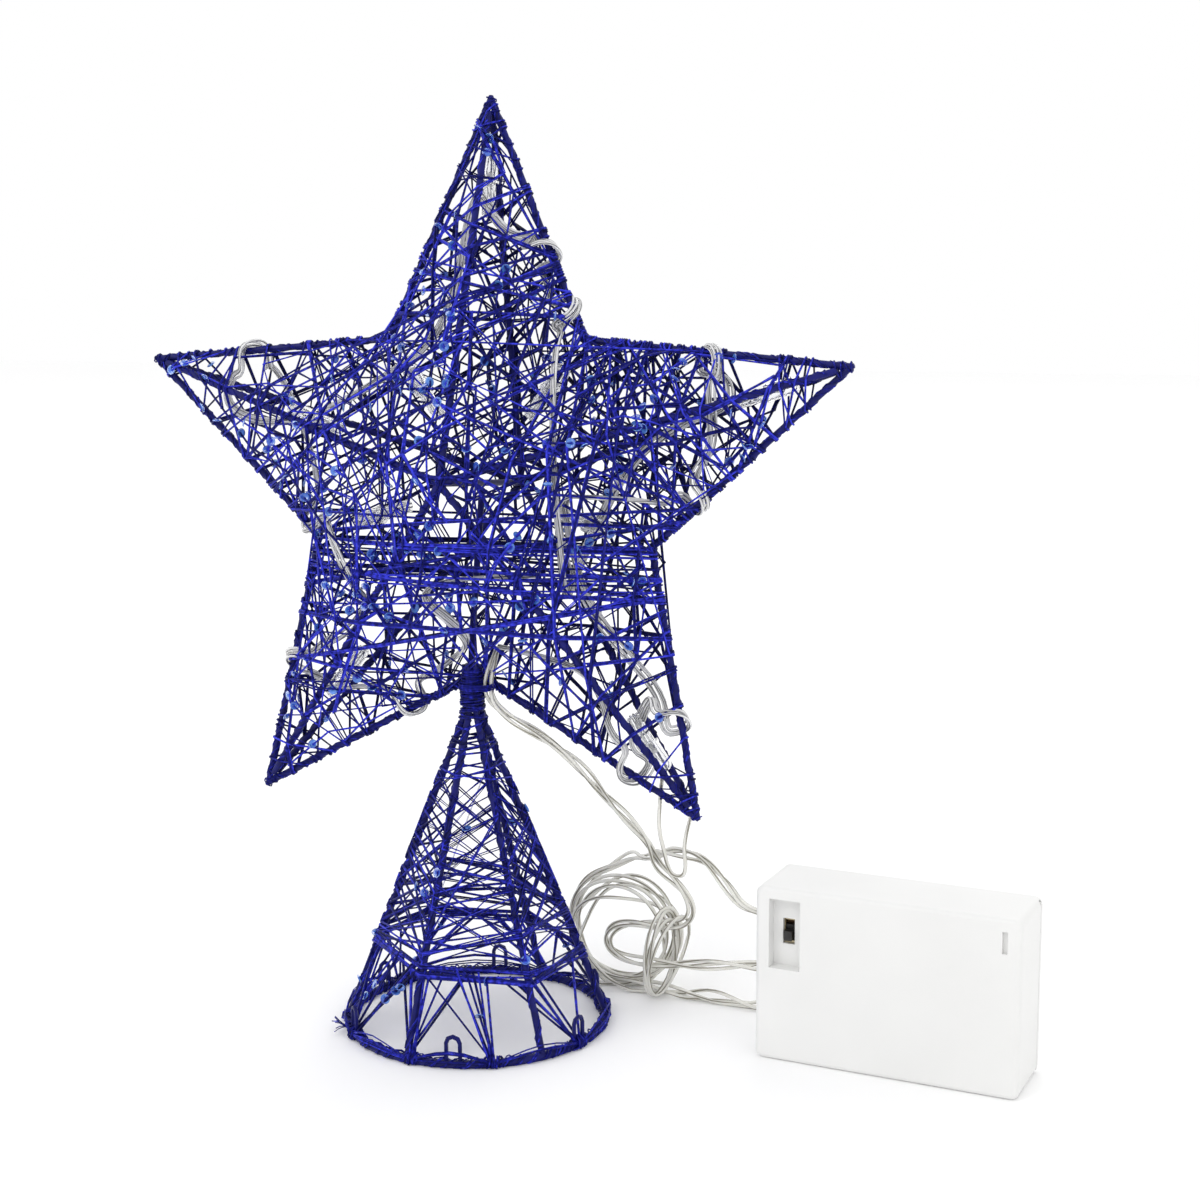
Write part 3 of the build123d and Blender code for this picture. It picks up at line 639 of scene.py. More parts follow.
def ridgeRise(p, q):
    # where a run from outline to outline lies over the ridges: share along it and height
    marks = []
    run = q - p
    for tip in starTips:
        cross = run[0] * tip[1] - run[1] * tip[0]
        if abs(cross) < 1e-6:
            continue
        t = (tip[0] * p[1] - tip[1] * p[0]) / cross
        if not 0.01 < t < 0.99:
            continue
        spot = p + run * t
        out = spot.dot(tip) / tip.dot(tip)
        if 0 <= out < 1:
            marks.append((t, star["apex"] * (1 - out)))
    return sorted(marks)


def upperHull(marks, first=0.0, last=0.0):
    hull = []
    for t, h in [(0.0, first)] + marks + [(1.0, last)]:
        while len(hull) > 1:
            (t0, h0), (t1, h1) = hull[-2], hull[-1]
            if (h1 - h0) * (t - t0) > (h - h0) * (t1 - t0):
                break
            hull.pop()
        hull.append((t, h))
    return hull


def roundWire(p, out, side, slope, hold):
    # from the wire's outer side to where the run leaves it
    leave = math.pi / 2 - slope
    spots = []
    for turn in (weave["wrapFrom"], 0.0, leave / 2, leave):
        a = p + out * hold * math.cos(turn)
        spots.append((a[0], a[1], side * hold * math.sin(turn)))
    return spots


def threadRun(start, end, side, hold, lift):
    # one taut run on the front or the back, from outside one outline wire to outside the next
    p, q = edgePoint(*start), edgePoint(*end)
    hull = upperHull(ridgeRise(p, q))
    length = np.linalg.norm(q - p)
    first = math.atan2(hull[1][1], hull[1][0] * length)
    last = math.atan2(hull[-2][1], (1 - hull[-2][0]) * length)
    points = roundWire(p, edgeOut(*start[:2]), side, first, hold)
    for t, h in hull[1:-1]:
        a = p + (q - p) * t
        points.append((a[0], a[1], side * (h + hold + lift)))
    return points + roundWire(q, edgeOut(*end[:2]), side, last, hold)[::-1]


# the net of thread on the star
weave = {
    "seed": 11,
    "radius": 0.28,
    "thickness": (0.85, 1.15),
    "sides": 4,
    "bundles": 114,
    "tries": 60,
    "chance": 0.5,
    "cell": 2.5,
    "reach": 112.0,
    "shortest": 13.0,
    "longest": 112.0,
    "edgeShares": (0.03, 0.99),
    "firstStop": (2, -1, 0.9),
    "freshShares": (0.3, 0.99),
    "bundleSizes": (1, 2, 3, 3, 4),
    "bins": 6,
    "binCell": 7.5,
    "binLoad": 3.0,
    "step": 0.2,
    "spread": 0.009,
    "slack": 0.15,
    "lift": 0.7,
    "wrapFrom": -1.2,
    "runShares": (0.04, 0.96),
    "tipStart": 0.40,
    "armLoads": (6.0, 8.2, 7.0, 9.0, 7.8),
    "netThreads": {1: 58, -1: 32},
    "netTwins": (1, 2, 2, 3),
    "netSteps": (4, 8),
    "netTries": 24,
    "netReach": (6.0, 24.0),
    "netEvery": 3.0,
    "netTurn": -0.35,
    "belts": ((0.985, 3), (0.90, 3), (0.84, 3)),
    "beltSpread": 0.05,
    "tipRuns": (7, 9, 7, 7, 9),
    "tipShares": (0.08, 0.34),
    # the back face's threads get darker shades than the front's: painted shade
    "shades": {1: (0.30, 0.90), -1: (0.0, 0.35)},
}


def least(found):
    # the try with the lowest score, without its score
    return min(found, key=lambda each: each[0])[1:]


def nearStop(stop, rng, spread):
    low, high = weave["edgeShares"]
    return stop[0], stop[1], min(high, max(low, stop[2] + rng.uniform(-spread, spread)))


def anyStop(rng, shares):
    return rng.randrange(armCount), rng.choice((1, -1)), rng.uniform(*shares)


class netLoad:
    # how thickly each patch of a face is covered, and in which directions
    def __init__(self, setup):
        cell, reach = setup["cell"], setup["reach"]
        self.setup = setup
        middles = (np.arange(int(2 * reach / cell) + 1) + 0.5) * cell - reach
        across, up = np.meshgrid(middles, middles, indexing="ij")
        far = np.hypot(across, up) / star["tips"][0]
        arm = ((np.degrees(np.arctan2(up, across)) - firstArm) // armTurn % armCount).astype(int)
        rise = np.clip((far - setup["tipStart"]) / (1 - setup["tipStart"]), 0, 1)
        self.fine = np.array(setup["armLoads"])[arm] * rise
        count = int(2 * reach / setup["binCell"]) + 1
        self.ways = np.zeros((setup["bins"], count, count))

    def cells(self, p, q):
        steps = max(4, int(np.linalg.norm(q - p) / self.setup["cell"]))
        spots = p + (q - p) * np.linspace(*self.setup["runShares"], steps)[:, None]
        turn = math.atan2(q[1] - p[1], q[0] - p[0]) % math.pi
        way = int(turn / math.pi * self.setup["bins"]) % self.setup["bins"]
        fine, rough = (tuple(((spots + self.setup["reach"]) / self.setup[key]).astype(int).T)
                       for key in ("cell", "binCell"))
        return spots, fine, (way, *rough)

    def score(self, fine, rough):
        return self.fine[fine].mean() + self.setup["binLoad"] * self.ways[rough].mean()

    def add(self, fine, rough, count):
        self.fine[fine] += count
        np.add.at(self.ways, rough, count * self.setup["cell"] / self.setup["binCell"])


def weaveRuns(rng, setup, loads):
    # bundles from edge to edge, each laid where the net is thinnest and in its rarest direction
    here, side, runs = setup["firstStop"], 1, []
    for bundle in range(setup["bundles"]):
        found = []
        for attempt in range(setup["tries"]):
            start = nearStop(here, rng, setup["step"])
            there = anyStop(rng, setup["edgeShares"])
            p, q = edgePoint(*start), edgePoint(*there)
            if there[:2] == here[:2] or not setup["shortest"] < np.linalg.norm(q - p) < setup["longest"]:
                continue
            spots, fine, rough = loads[side].cells(p, q)
            if not insideStar(spots).all():
                continue
            score = loads[side].score(fine, rough) + rng.uniform(0, setup["chance"])
            found.append((score, start, there, fine, rough))
        if not found:
            here = anyStop(rng, setup["freshShares"])
            continue
        start, there, fine, rough = least(found)
        count = rng.choice(setup["bundleSizes"])
        for turn in range(2 * count - 1):
            # there on one face, back on the other
            first, last, face = (there, start, -side) if turn % 2 else (start, there, side)
            runs.append((nearStop(first, rng, setup["spread"]), nearStop(last, rng, setup["spread"]), face))
        loads[side].add(fine, rough, count)
        if count > 1:
            loads[-side].add(fine, rough, count - 1)
        here, side = there, -side
    return runs


def netKnots(lines, side, rng, setup):
    # places along the runs of one face where a thread can be hooked on
    knots = []
    for line, radius, shade in lines:
        local = flat(line)
        for a, b in zip(local[3:-4], local[4:-3]):  # without the turns round the outline wires
            steps = int(np.linalg.norm(b - a) / setup["netEvery"])
            knots += [a + (b - a) * (k + rng.random()) / (steps + 1) for k in range(steps)]
    return np.array([k for k in knots if k[2] * side > 0])


def netPaths(lines, rng, setup, loads):
    # thread led on from crossing to crossing, hooked round the runs already there
    paths, radius = [], setup["radius"]
    shortest, longest = setup["netReach"]
    for side, count in setup["netThreads"].items():
        knots = netKnots(lines, side, rng, setup)
        load = loads[side]
        for thread in range(count):
            here = knots[rng.randrange(len(knots))]
            spots, last = [here], np.zeros(2)
            for step in range(rng.randint(*setup["netSteps"])):
                far = np.linalg.norm(knots[:, :2] - here[:2], axis=1)
                near = np.flatnonzero((far > shortest) & (far < longest))
                found = []
                for attempt in range(setup["netTries"]):
                    there = knots[near[rng.randrange(len(near))]]
                    seen, fine, rough = load.cells(here[:2], there[:2])
                    if unit(there[:2] - here[:2]).dot(last) > setup["netTurn"] and insideStar(seen).all():
                        found.append((load.score(fine, rough), there, fine, rough))
                if not found:
                    break
                there, fine, rough = least(found)
                load.add(fine, rough, 1)
                marks = [(t, h + star["wire"] + radius) for t, h in ridgeRise(here[:2], there[:2])]
                for t, h in upperHull(marks, abs(here[2]), abs(there[2]))[1:]:
                    spot = here[:2] + (there[:2] - here[:2]) * t
                    spots.append(np.array((*spot, side * (h + rng.uniform(0, radius)))))
                here, last = there, unit(there[:2] - here[:2])
            if len(spots) > 2:
                # threads on the back take the darker shades: painted shade
                shade = rng.uniform(*setup["shades"][side])
                for twin in range(rng.choice(setup["netTwins"])):
                    line = [onStar(*(p + np.array([rng.gauss(0, radius) for k in range(3)]))) for p in spots]
                    paths.append((np.array(line), radius * mm * rng.uniform(*setup["thickness"]), shade))
    return paths


def beltRuns(rng, setup):
    # level turns across the star under its side valleys
    runs = []
    for height, turns in setup["belts"]:
        for turn in range(turns):
            left, right = (nearStop((*edge, height), rng, setup["beltSpread"]) for edge in ((2, -1), (3, 1)))
            runs += [(left, right, 1), (right, left, -1)]
    return runs


def tipRuns(arm, rng, setup):
    # short runs across the end of one arm, front and back in turn
    hands = [1 - 2 * (k % 2) for k in range(setup["tipRuns"][arm] + 1)]
    stops = [(arm, hand, rng.uniform(*setup["tipShares"])) for hand in hands]
    return list(zip(stops, stops[1:], hands))


def threadPaths(runs, rng, setup):
    paths = []
    for start, end, side in runs:
        hold = star["wire"] + setup["radius"] + rng.uniform(0, setup["slack"])
        line = [onStar(*p) for p in threadRun(start, end, side, hold, rng.uniform(0, setup["lift"]))]
        # runs on the back take the darker shades: painted shade
        shade = rng.uniform(*setup["shades"][side])
        paths.append((np.array(line), setup["radius"] * mm * rng.uniform(*setup["thickness"]), shade))
    return paths


def makeWeave(setup):
    rng = random.Random(setup["seed"])
    groups = {key: [] for key in ("body", *range(armCount))}
    loads = {1: netLoad(setup), -1: netLoad(setup)}
    for run in weaveRuns(rng, setup, loads):
        groups[run[0][0] if run[0][0] == run[1][0] else "body"].append(run)
    bundles = {key: threadPaths(runs, rng, setup) for key, runs in groups.items()}
    bundles["body"] += netPaths(sum(bundles.values(), []), rng, setup, loads)
    for arm in range(armCount):
        bundles[arm] += threadPaths(tipRuns(arm, rng, setup), rng, setup)
    lines = []
    for key, paths in bundles.items():
        name = "body_thread" if key == "body" else f"arm_thread_{key + 1}"
        piece = tubePiece(name, paths, setup["sides"], blueThread)
        if key != "body":
            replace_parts(piece, f"arm_winding_{key + 1}")
        lines += paths
    paths = threadPaths(beltRuns(rng, setup), rng, setup)
    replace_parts(tubePiece("waist_thread", paths, setup["sides"], blueThread), "waist_winding")
    print("star runs", len(lines) + len(paths), {str(k): len(v) for k, v in bundles.items()})
    return lines + paths


starLines = makeWeave(weave)


def frontMap(lines, setup):
    # the outermost thread over each patch of the star's front
    cell, reach = setup["cell"], setup["reach"]
    count = int(2 * reach / cell) + 1
    tops = np.zeros((count, count))
    for line, radius, shade in lines:
        local = flat(line)
        for a, b in zip(local, local[1:]):
            steps = max(2, int(np.linalg.norm(b - a) / cell * 2))
            spots = a + (b - a) * np.linspace(0, 1, steps)[:, None]
            cells = tuple(np.clip(((spots[:, :2] + reach) / cell).astype(int), 0, count - 1).T)
            np.maximum.at(tops, cells, spots[:, 2])
    return tops


frontTops = frontMap(starLines, weave)


def threadTop(u, w, clear):
    # height just over the front thread near this place
    i, j = (int((x + weave["reach"]) / weave["cell"]) for x in (u, w))
    return float(frontTops[i - 1:i + 2, j - 1:j + 2].max()) + clear


# cone: six legs from the ring to the neck
cone = {
    "legs": 6,
    "firstAngle": 20.0,
    "ringRadius": 35.2,
    "ringWire": 1.0,
    "footHeight": 2.05,
    "neckRadius": 1.85,
    "neckHeight": 87.0,
    "wire": 0.9,
    "seed": 5,
    "radius": 0.29,
    "thickness": (0.85, 1.15),
    "shades": (0.15, 0.85),
    "sides": 4,
    "stops": 132,
    "tries": 14,
    "chance": 0.4,
    "tiltShare": 0.75,
    "tiltLeast": 3.0,
    "slide": 4.0,
    "neckLoad": 2.2,
    "high": 84.0,
    "low": 23.5,
    "rowHeight": 2.6,
    "columns": 8,
    "copies": (1.0, 1.0, 0.5),
    "copySpread": 0.45,
    "copyHeights": (10.0, 86.0),
    "lengthStops": 6,
    "loose": (1.0, 1.1),
    "bandSpread": 1.9,
    "bandLoose": (1.0, 1.35),
    "bands": ((21.6, 12, 2.4), (29.5, 5, -2.2)),
    "bandTurn": 200.0,
    "knots": (28, 76, 150, 200, 222, 262, 298, 340),
    "laces": 7,
    "laceSwing": 42.0,
    "laceFoot": 1.5,
    "laceTop": 1.0,
    "laceSeat": 0.5,
    "laceThickness": (1.0, 1.5),
    "collar": (70.0, 85.5),
    "collarTurns": 8,
    "collarTilt": (0.8, 3.0),
    "collarSpread": 0.3,
}


def polar(radius, turn, height):
    # a point about the cone's axis
    return np.array((radius * math.cos(turn), radius * math.sin(turn), height)) * mm


def legSpot(setup, step, height, hold):
    share = (height - setup["footHeight"]) / (setup["neckHeight"] - setup["footHeight"])
    radius = setup["ringRadius"] + (setup["neckRadius"] - setup["ringRadius"]) * share + hold
    return polar(radius, math.radians(setup["firstAngle"] + 360 / setup["legs"] * step), height)


def coneStops(rng, setup):
    # one long thread from leg to leg, each run laid where its face is barest
    legs, columns = setup["legs"], setup["columns"]
    rowCount = int(setup["neckHeight"] / setup["rowHeight"]) + 1
    load = np.zeros((legs, rowCount, columns))
    load += setup["neckLoad"] * (np.arange(rowCount)[None, :, None] / rowCount) ** 2
    shares = (np.arange(columns) + 0.5) / columns
    leg, height, stops = 0, setup["low"], []
    for stop in range(setup["stops"]):
        found = []
        for attempt in range(setup["tries"]):
            start = height + rng.uniform(-1, 1) * setup["slide"]
            spacing = setup["ringRadius"] * (1 - start / setup["neckHeight"])
            tilt = setup["tiltLeast"] + abs(rng.gauss(0, spacing * setup["tiltShare"]))
            end = start + rng.choice((-1, 1)) * tilt
            if not (setup["low"] < start < setup["high"] and setup["low"] < end < setup["high"]):
                continue
            rows = ((start + (end - start) * shares) / setup["rowHeight"]).astype(int)
            score = load[leg, rows, np.arange(columns)].mean() + rng.uniform(0, setup["chance"])
            found.append((score, start, end, rows))
        if not found:
            height = rng.uniform(setup["low"], setup["high"])
            continue
        start, end, rows = least(found)
        load[leg, rows, np.arange(columns)] += 1
        stops += [(leg, start), ((leg + 1) % legs, end)]
        leg, height = (leg + 1) % legs, end
    return stops


def makeConeThread(setup):
    rng = random.Random(setup["seed"])
    hold = setup["wire"] + setup["radius"]
    legs, legTurn = setup["legs"], 360 / setup["legs"]
    paths = []

    def lay(line, thickness=setup["thickness"]):
        # one length of thread with its own thickness and shade
        radius = setup["radius"] * mm * rng.uniform(*thickness)
        paths.append((np.array(line), radius, rng.uniform(*setup["shades"])))

    def bandHeight(band, slope, degrees):
        return band + slope * math.cos(math.radians(degrees - setup["bandTurn"]))

    def goRound(heightAt, loose):
        # one turn from leg to leg
        spots = range(legs + 1)
        lay([legSpot(setup, step % legs, heightAt(step), hold * rng.uniform(*loose)) for step in spots])

    stops = coneStops(rng, setup)
    low, high = setup["copyHeights"]
    for share in setup["copies"]:
        # the same thread laid again beside itself
        line = []
        for leg, height in stops[:int(len(stops) * share)]:
            spot = min(high, max(low, height + rng.gauss(0, setup["copySpread"])))
            line.append(legSpot(setup, leg, spot, hold * rng.uniform(*setup["loose"])))
        each = setup["lengthStops"]
        for k in range(0, len(line) - each, each):
            lay(line[k:k + each + 1])
    for band, turns, slope in setup["bands"]:
        for turn in range(turns):
            goRound(lambda step: bandHeight(band, slope, setup["firstAngle"] + legTurn * step)
                    + rng.uniform(-1, 1) * setup["bandSpread"], setup["bandLoose"])
    # close uneven turns where the legs draw together
    low, high = setup["collar"]
    spread = setup["collarSpread"]
    for turn in range(setup["collarTurns"]):
        spot = low + (high - low) * rng.random()
        tilt, swing = rng.uniform(*setup["collarTilt"]), rng.uniform(0, fullTurn)
        goRound(lambda step: min(high + spread, spot + tilt * math.sin(fullTurn * step / legs + swing)
                                 + rng.uniform(-spread, spread)), setup["loose"])
    # lacing from knots on the ring up to the lowest band
    band, turns, slope = setup["bands"][0]
    out = setup["ringRadius"] + (setup["ringWire"] + setup["radius"] * setup["laceSeat"])
    for knot in setup["knots"]:
        for lace in range(setup["laces"]):
            aim = knot + rng.uniform(-1, 1) * setup["laceSwing"]
            step = (aim - setup["firstAngle"]) / legTurn
            near = int(math.floor(step))
            spot = bandHeight(band, slope, aim) + rng.uniform(-1, 1) * setup["laceTop"]
            left, right = (legSpot(setup, k, spot, hold * setup["loose"][1]) for k in (near, near + 1))
            top = left + (right - left) * (step - near)
            foot = polar(out, math.radians(knot + rng.gauss(0, setup["laceFoot"])), setup["ringWire"])
            lay([top, foot], setup["laceThickness"])
    piece = tubePiece("cone_thread", paths, setup["sides"], blueThread)
    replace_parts(piece, "cone_winding")
    return paths


coneLines = makeConeThread(cone)
print("cone wound", len(coneLines))

# thread wound close round the wires themselves
wraps = {
    "seed": 3,
    "radius": 0.21,
    "sides": 4,
    "points": 8,
    "seat": 0.3,
    "edges": {"strands": 4, "pitch": (5.0, 14.0), "shades": (0.2, 0.7)},
    "edgeShares": (0.02, 1.0),
    "ridges": {
        # rear ridges get darker shades than front ridges: painted shade
        1: {"strands": 3, "pitch": (5.0, 14.0), "lift": 0.1, "shades": (0.25, 0.75)},
        -1: {"strands": 3, "pitch": (5.0, 14.0), "lift": 0.1, "shades": (0.0, 0.3)},
    },
    "ridgeEnd": 0.94,
    "tipTurns": 7,
    "tipReach": 4.2,
    "tipOver": 0.4,
    "tipSweep": 11,
    "tipWide": (1.25, 0.36),
    "tipThick": (1.3, 0.12),
    "tipShades": (0.3, 0.7),
    "legs": {"strands": 3, "pitch": (6.0, 16.0), "lift": 0.1, "shades": (0.1, 0.7)},
    "legHeights": (3.5, 84),
    "ringPitch": (4.0, 11.0),
    "ringStrands": 5,
    "ringLift": 0.5,
    "ringSeat": 0.7,
    "ringRaise": 0.15,
    "ringStart": 6,
    "floorGap": 0.02,
    "ringShades": (0.2, 0.7),
    "knotRise": 0.9,
    "knotVary": (0.4, 1.0),
    "knotWidth": 3.2,
    "knotSlow": 0.85,
    "strays": 4,
    "strayLift": (0.4, 4.5),
    "straySeat": 1.5,
    "strayFoot": 1.4,
    "strayLoose": 0.3,
    "strayPoints": 6,
    "strayShades": (0.3, 0.8),
    "fray": {
        "at": 214.0, "swing": 2, "ends": 7, "foot": (1.4, 1.6), "length": 5.5, "lengths": (0.6, 1.0),
        "outward": (0.6, 1.0), "sideways": (-0.7, 0.3), "upward": (0.1, 0.8), "bend": 1.6,
        "marks": (0, 0.3, 0.65, 1.0), "radius": 0.14, "shades": (0.4, 0.8),
    },
    "neckLayers": ((1, 11, 0.0), (-1, 7, 0.12), (1, 5, 0.2)),
    "neckProfile": ((85.0, 3.95), (87.0, 3.3), (90.0, 3.15), (95.0, 2.95), (98.9, 2.4)),
    "neckRadius": 0.27,
    "neckPoints": 14,
    "neckTwins": 2,
    "neckSway": 0.8,
    "neckSwayRun": 19,
    "neckEase": 0.8,
    "neckLoose": 0.05,
    "neckShades": (0.15, 0.6),
    "neckSides": 5,
}
wrapReach = star["wire"] * mm + wraps["radius"] * mm * wraps["seat"]


def woundWire(start, end, wind, rng, setup):
    # strands of thread wound along a straight wire, each in turns of uneven pitch
    way = unit(end - start)
    a, b = crossAxes(way, 1)
    length, points = np.linalg.norm(end - start), setup["points"]
    paths = []
    for strand in range(wind["strands"]):
        reach = wrapReach + (wind["lift"] * rng.random() * mm if "lift" in wind else 0)
        line, along, turn = [], 0.0, rng.uniform(0, anyTurn)
        while along < length:
            step = rng.uniform(*wind["pitch"]) * mm / points
            for k in range(points):
                out = (a * math.cos(turn) + b * math.sin(turn)) * reach
                line.append(start + way * min(along, length) + out)
                along += step
                turn += fullTurn / points
        paths.append((np.array(line), setup["radius"] * mm, rng.uniform(*wind["shades"])))
    return paths


def tipLine(arm, setup):
    # the tip, where the wires' ends are bound together
    axis = unit(starTips[arm])
    cross = np.array((-axis[1], axis[0]))
    count = setup["tipTurns"] * setup["points"]
    line = []
    for k in range(count + 1):
        turn = fullTurn * k / setup["points"]
        back = setup["tipReach"] * (0.5 + 0.5 * math.sin(k / count * setup["tipSweep"]))
        wide, thick = (end + back * more for end, more in (setup["tipWide"], setup["tipThick"]))
        spot = starTips[arm] - axis * (back - setup["tipOver"]) + cross * wide * math.cos(turn)
        line.append(onStar(spot[0], spot[1], thick * math.sin(turn)))
    return np.array(line)


def starWraps(rng, setup):
    paths, apex, end = [], star["apex"], setup["ridgeEnd"]
    for arm in range(armCount):
        for hand in (1, -1):
            near, far = (onStar(*edgePoint(arm, hand, share), 0) for share in setup["edgeShares"])
            paths += woundWire(near, far, setup["edges"], rng, setup)
    for arm in range(armCount):
        # the rear ridges' darker shades are painted shade
        for side, wind in setup["ridges"].items():
            tip = onStar(*(starTips[arm] * end), side * apex * (1 - end))
            paths += woundWire(tip, onStar(0, 0, side * apex), wind, rng, setup)
    for arm in range(armCount):
        paths.append((tipLine(arm, setup), setup["radius"] * mm, rng.uniform(*setup["tipShades"])))
    return paths


def legWraps(rng, setup):
    paths = []
    for step in range(cone["legs"]):
        foot, top = (legSpot(cone, step, height, 0) for height in setup["legHeights"])
        paths += woundWire(foot, top, setup["legs"], rng, setup)
    return paths


def knotShare(swing):
    # how near this place on the ring is to a knot
    knots = np.radians(np.array(cone["knots"], float))
    apart = np.abs((swing - knots + math.pi) % fullTurn - math.pi)
    return float(np.exp(-(apart.min() / math.radians(wraps["knotWidth"])) ** 2))


def ringWraps(rng, setup):
    # uneven layers round the base ring, fat at the knots, and strays from knot to knot
    paths, radius, points = [], setup["radius"], setup["points"]
    ring, wire = cone["ringRadius"], cone["ringWire"]
    for strand in range(setup["ringStrands"]):
        turn, lift = rng.uniform(0, setup["ringStart"]), rng.random() * setup["ringLift"]
        line, swing = [], 0.0
        while swing < fullTurn:
            step = rng.uniform(*setup["ringPitch"]) / ring / points
            for k in range(points):
                near = knotShare(swing)
                reach = wire + radius * setup["ringSeat"] + lift
                reach += setup["knotRise"] * near * rng.uniform(*setup["knotVary"])
                height = wire + setup["ringRaise"] + reach * math.sin(turn)
                height = max(radius + setup["floorGap"], height)
                line.append(polar(ring + reach * math.cos(turn), swing, height))
                turn += fullTurn / points
                swing += step * (1 - setup["knotSlow"] * near)
        paths.append((np.array(line), radius * mm, rng.uniform(*setup["ringShades"])))
    degrees = list(cone["knots"]) + [cone["knots"][0] + 360]
    for start, end in zip(degrees, degrees[1:]):
        for stray in range(setup["strays"]):
            lift, line = rng.uniform(*setup["strayLift"]), []
            for k in range(setup["strayPoints"] + 1):
                share = k / setup["strayPoints"]
                out = ring + wire + radius * setup["straySeat"] + rng.uniform(0, setup["strayLoose"])
                height = wire * setup["strayFoot"] + lift * math.sin(math.pi * share)
                line.append(polar(out, math.radians(start + (end - start) * share), height))
            paths.append((np.array(line), radius * mm, rng.uniform(*setup["strayShades"])))
    return paths


def frayedEnd(rng, fray):
    # a few thin ends that stand off the ring
    paths = []
    up = np.array((0, 0, 1.0))
    for k in range(fray["ends"]):
        swing = math.radians(fray["at"] + rng.uniform(-1, 1) * fray["swing"])
        out = np.array((math.cos(swing), math.sin(swing), 0.0))
        side = np.array((-out[1], out[0], 0.0))
        start = out * (cone["ringRadius"] + fray["foot"][0]) + up * fray["foot"][1]
        way = sum(axis * rng.uniform(*fray[key])
                  for axis, key in ((out, "outward"), (side, "sideways"), (up, "upward")))
        reach = fray["length"] * rng.uniform(*fray["lengths"])
        bend = up * rng.uniform(-1, 1) * fray["bend"]
        line = [start + way * reach * s + bend * s * s for s in fray["marks"]]
        paths.append((np.array(line) * mm, fray["radius"] * mm, rng.uniform(*fray["shades"])))
    return paths


def neckWraps(rng, setup):
    # crossed layers of turns that bind the legs to the stem
    heights, reaches = zip(*setup["neckProfile"])
    points = setup["neckPoints"]
    paths = []
    for hand, turns, lift in setup["neckLayers"]:
        for twin in range(setup["neckTwins"]):
            line = []
            start, sway = rng.uniform(0, anyTurn), rng.uniform(0, anyTurn)
            for k in range(turns * points + 1):
                share = (k / turns / points) ** setup["neckEase"]
                height = heights[0] + (heights[-1] - heights[0]) * share
                height += setup["neckSway"] * math.sin(k / setup["neckSwayRun"] + sway)
                height = min(heights[-1], max(heights[0], height))
                out = float(np.interp(height, heights, reaches)) + lift
                out += rng.uniform(-1, 1) * setup["neckLoose"]
                line.append(polar(out, start + hand * fullTurn * k / points, height))
            paths.append((np.array(line), setup["neckRadius"] * mm, rng.uniform(*setup["neckShades"])))
    return paths


def makeWraps(setup):
    rng = random.Random(setup["seed"])
    tubePiece("wire_wraps", starWraps(rng, setup), setup["sides"], blueThread)
    paths = legWraps(rng, setup) + ringWraps(rng, setup) + frayedEnd(rng, setup["fray"])
    tubePiece("cone_wraps", paths, setup["sides"], blueThread)
    neck = tubePiece("neck_thread", neckWraps(rng, setup), setup["neckSides"], blueThread)
    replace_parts(neck, "neck_binding")


makeWraps(wraps)
print("wires wrapped")

# sequins strung on the thread
sequins = {
    "seed": 21,
    "onStar": {1: 160, -1: 60},
    "onCone": 24,
    "along": (0.1, 0.9),
    "tilt": 1.3,
    "clear": 2.0,
    "radius": 1.35,
    "middle": 0.95,
    "hole": 0.28,
    "cup": 0.45,
    "middleRise": 0.3,
    "coneFace": (1, 1, 0.2),
    "sides": 16,
    "thick": 0.12,
}


def discShape(setup, centre, normal):
    # a cupped disc with a hole: three rings below, three above, joined at both rims
    n = unit(normal)
    cup, thick, count = setup["cup"], setup["thick"], setup["sides"]
    radii = np.array((setup["hole"], setup["middle"], setup["radius"]) * 2)
    middle = cup * setup["middleRise"]
    rises = np.array((0.0, middle, cup, thick, middle + thick, cup + thick))
    verts = ringVerts(centre + n * rises[:, None] * mm, *crossAxes(n), radii * mm, count)
    faces = []
    for k in range(count):
        m = (k + 1) % count
        for i, j in ((0, 1), (1, 2), (2, 5), (5, 4), (4, 3), (3, 0)):
            faces.append((i * count + k, j * count + k, j * count + m, i * count + m))
    return verts.tolist(), faces


def makeSequins(setup):
    rng = random.Random(setup["seed"])
    clear = setup["clear"]

    def threadSpot(lines):
        line = lines[rng.randrange(len(lines))][0]
        leg = rng.randrange(len(line) - 1)
        way = line[leg + 1] - line[leg]
        return line[leg] + way * rng.uniform(*setup["along"]), way

    def tilted(normal):
        return normal + unit(np.array([rng.gauss(0, 1) for k in range(3)])) * setup["tilt"]

    discs = []
    for side, count in setup["onStar"].items():
        found = 0
        while found < count:
            spot, way = threadSpot(starLines)
            if np.linalg.norm(way) < clear * mm or flat(spot)[2] * side < clear:
                continue
            discs.append((spot, tilted(starOut * side)))
            found += 1
    for k in range(setup["onCone"]):
        spot, way = threadSpot(coneLines)
        discs.append((spot, tilted(unit(spot * np.array(setup["coneFace"])))))
    verts, faces = [], []
    for spot, normal in discs:
        more, cells = discShape(setup, spot, normal)
        faces += [tuple(len(verts) + v for v in cell) for cell in cells]
        verts += more
    piece = meshPiece("sequin_discs", verts, faces, made["sequinFilm"])
    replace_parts(piece, "sequins")


makeSequins(sequins)
print("sequins strung")

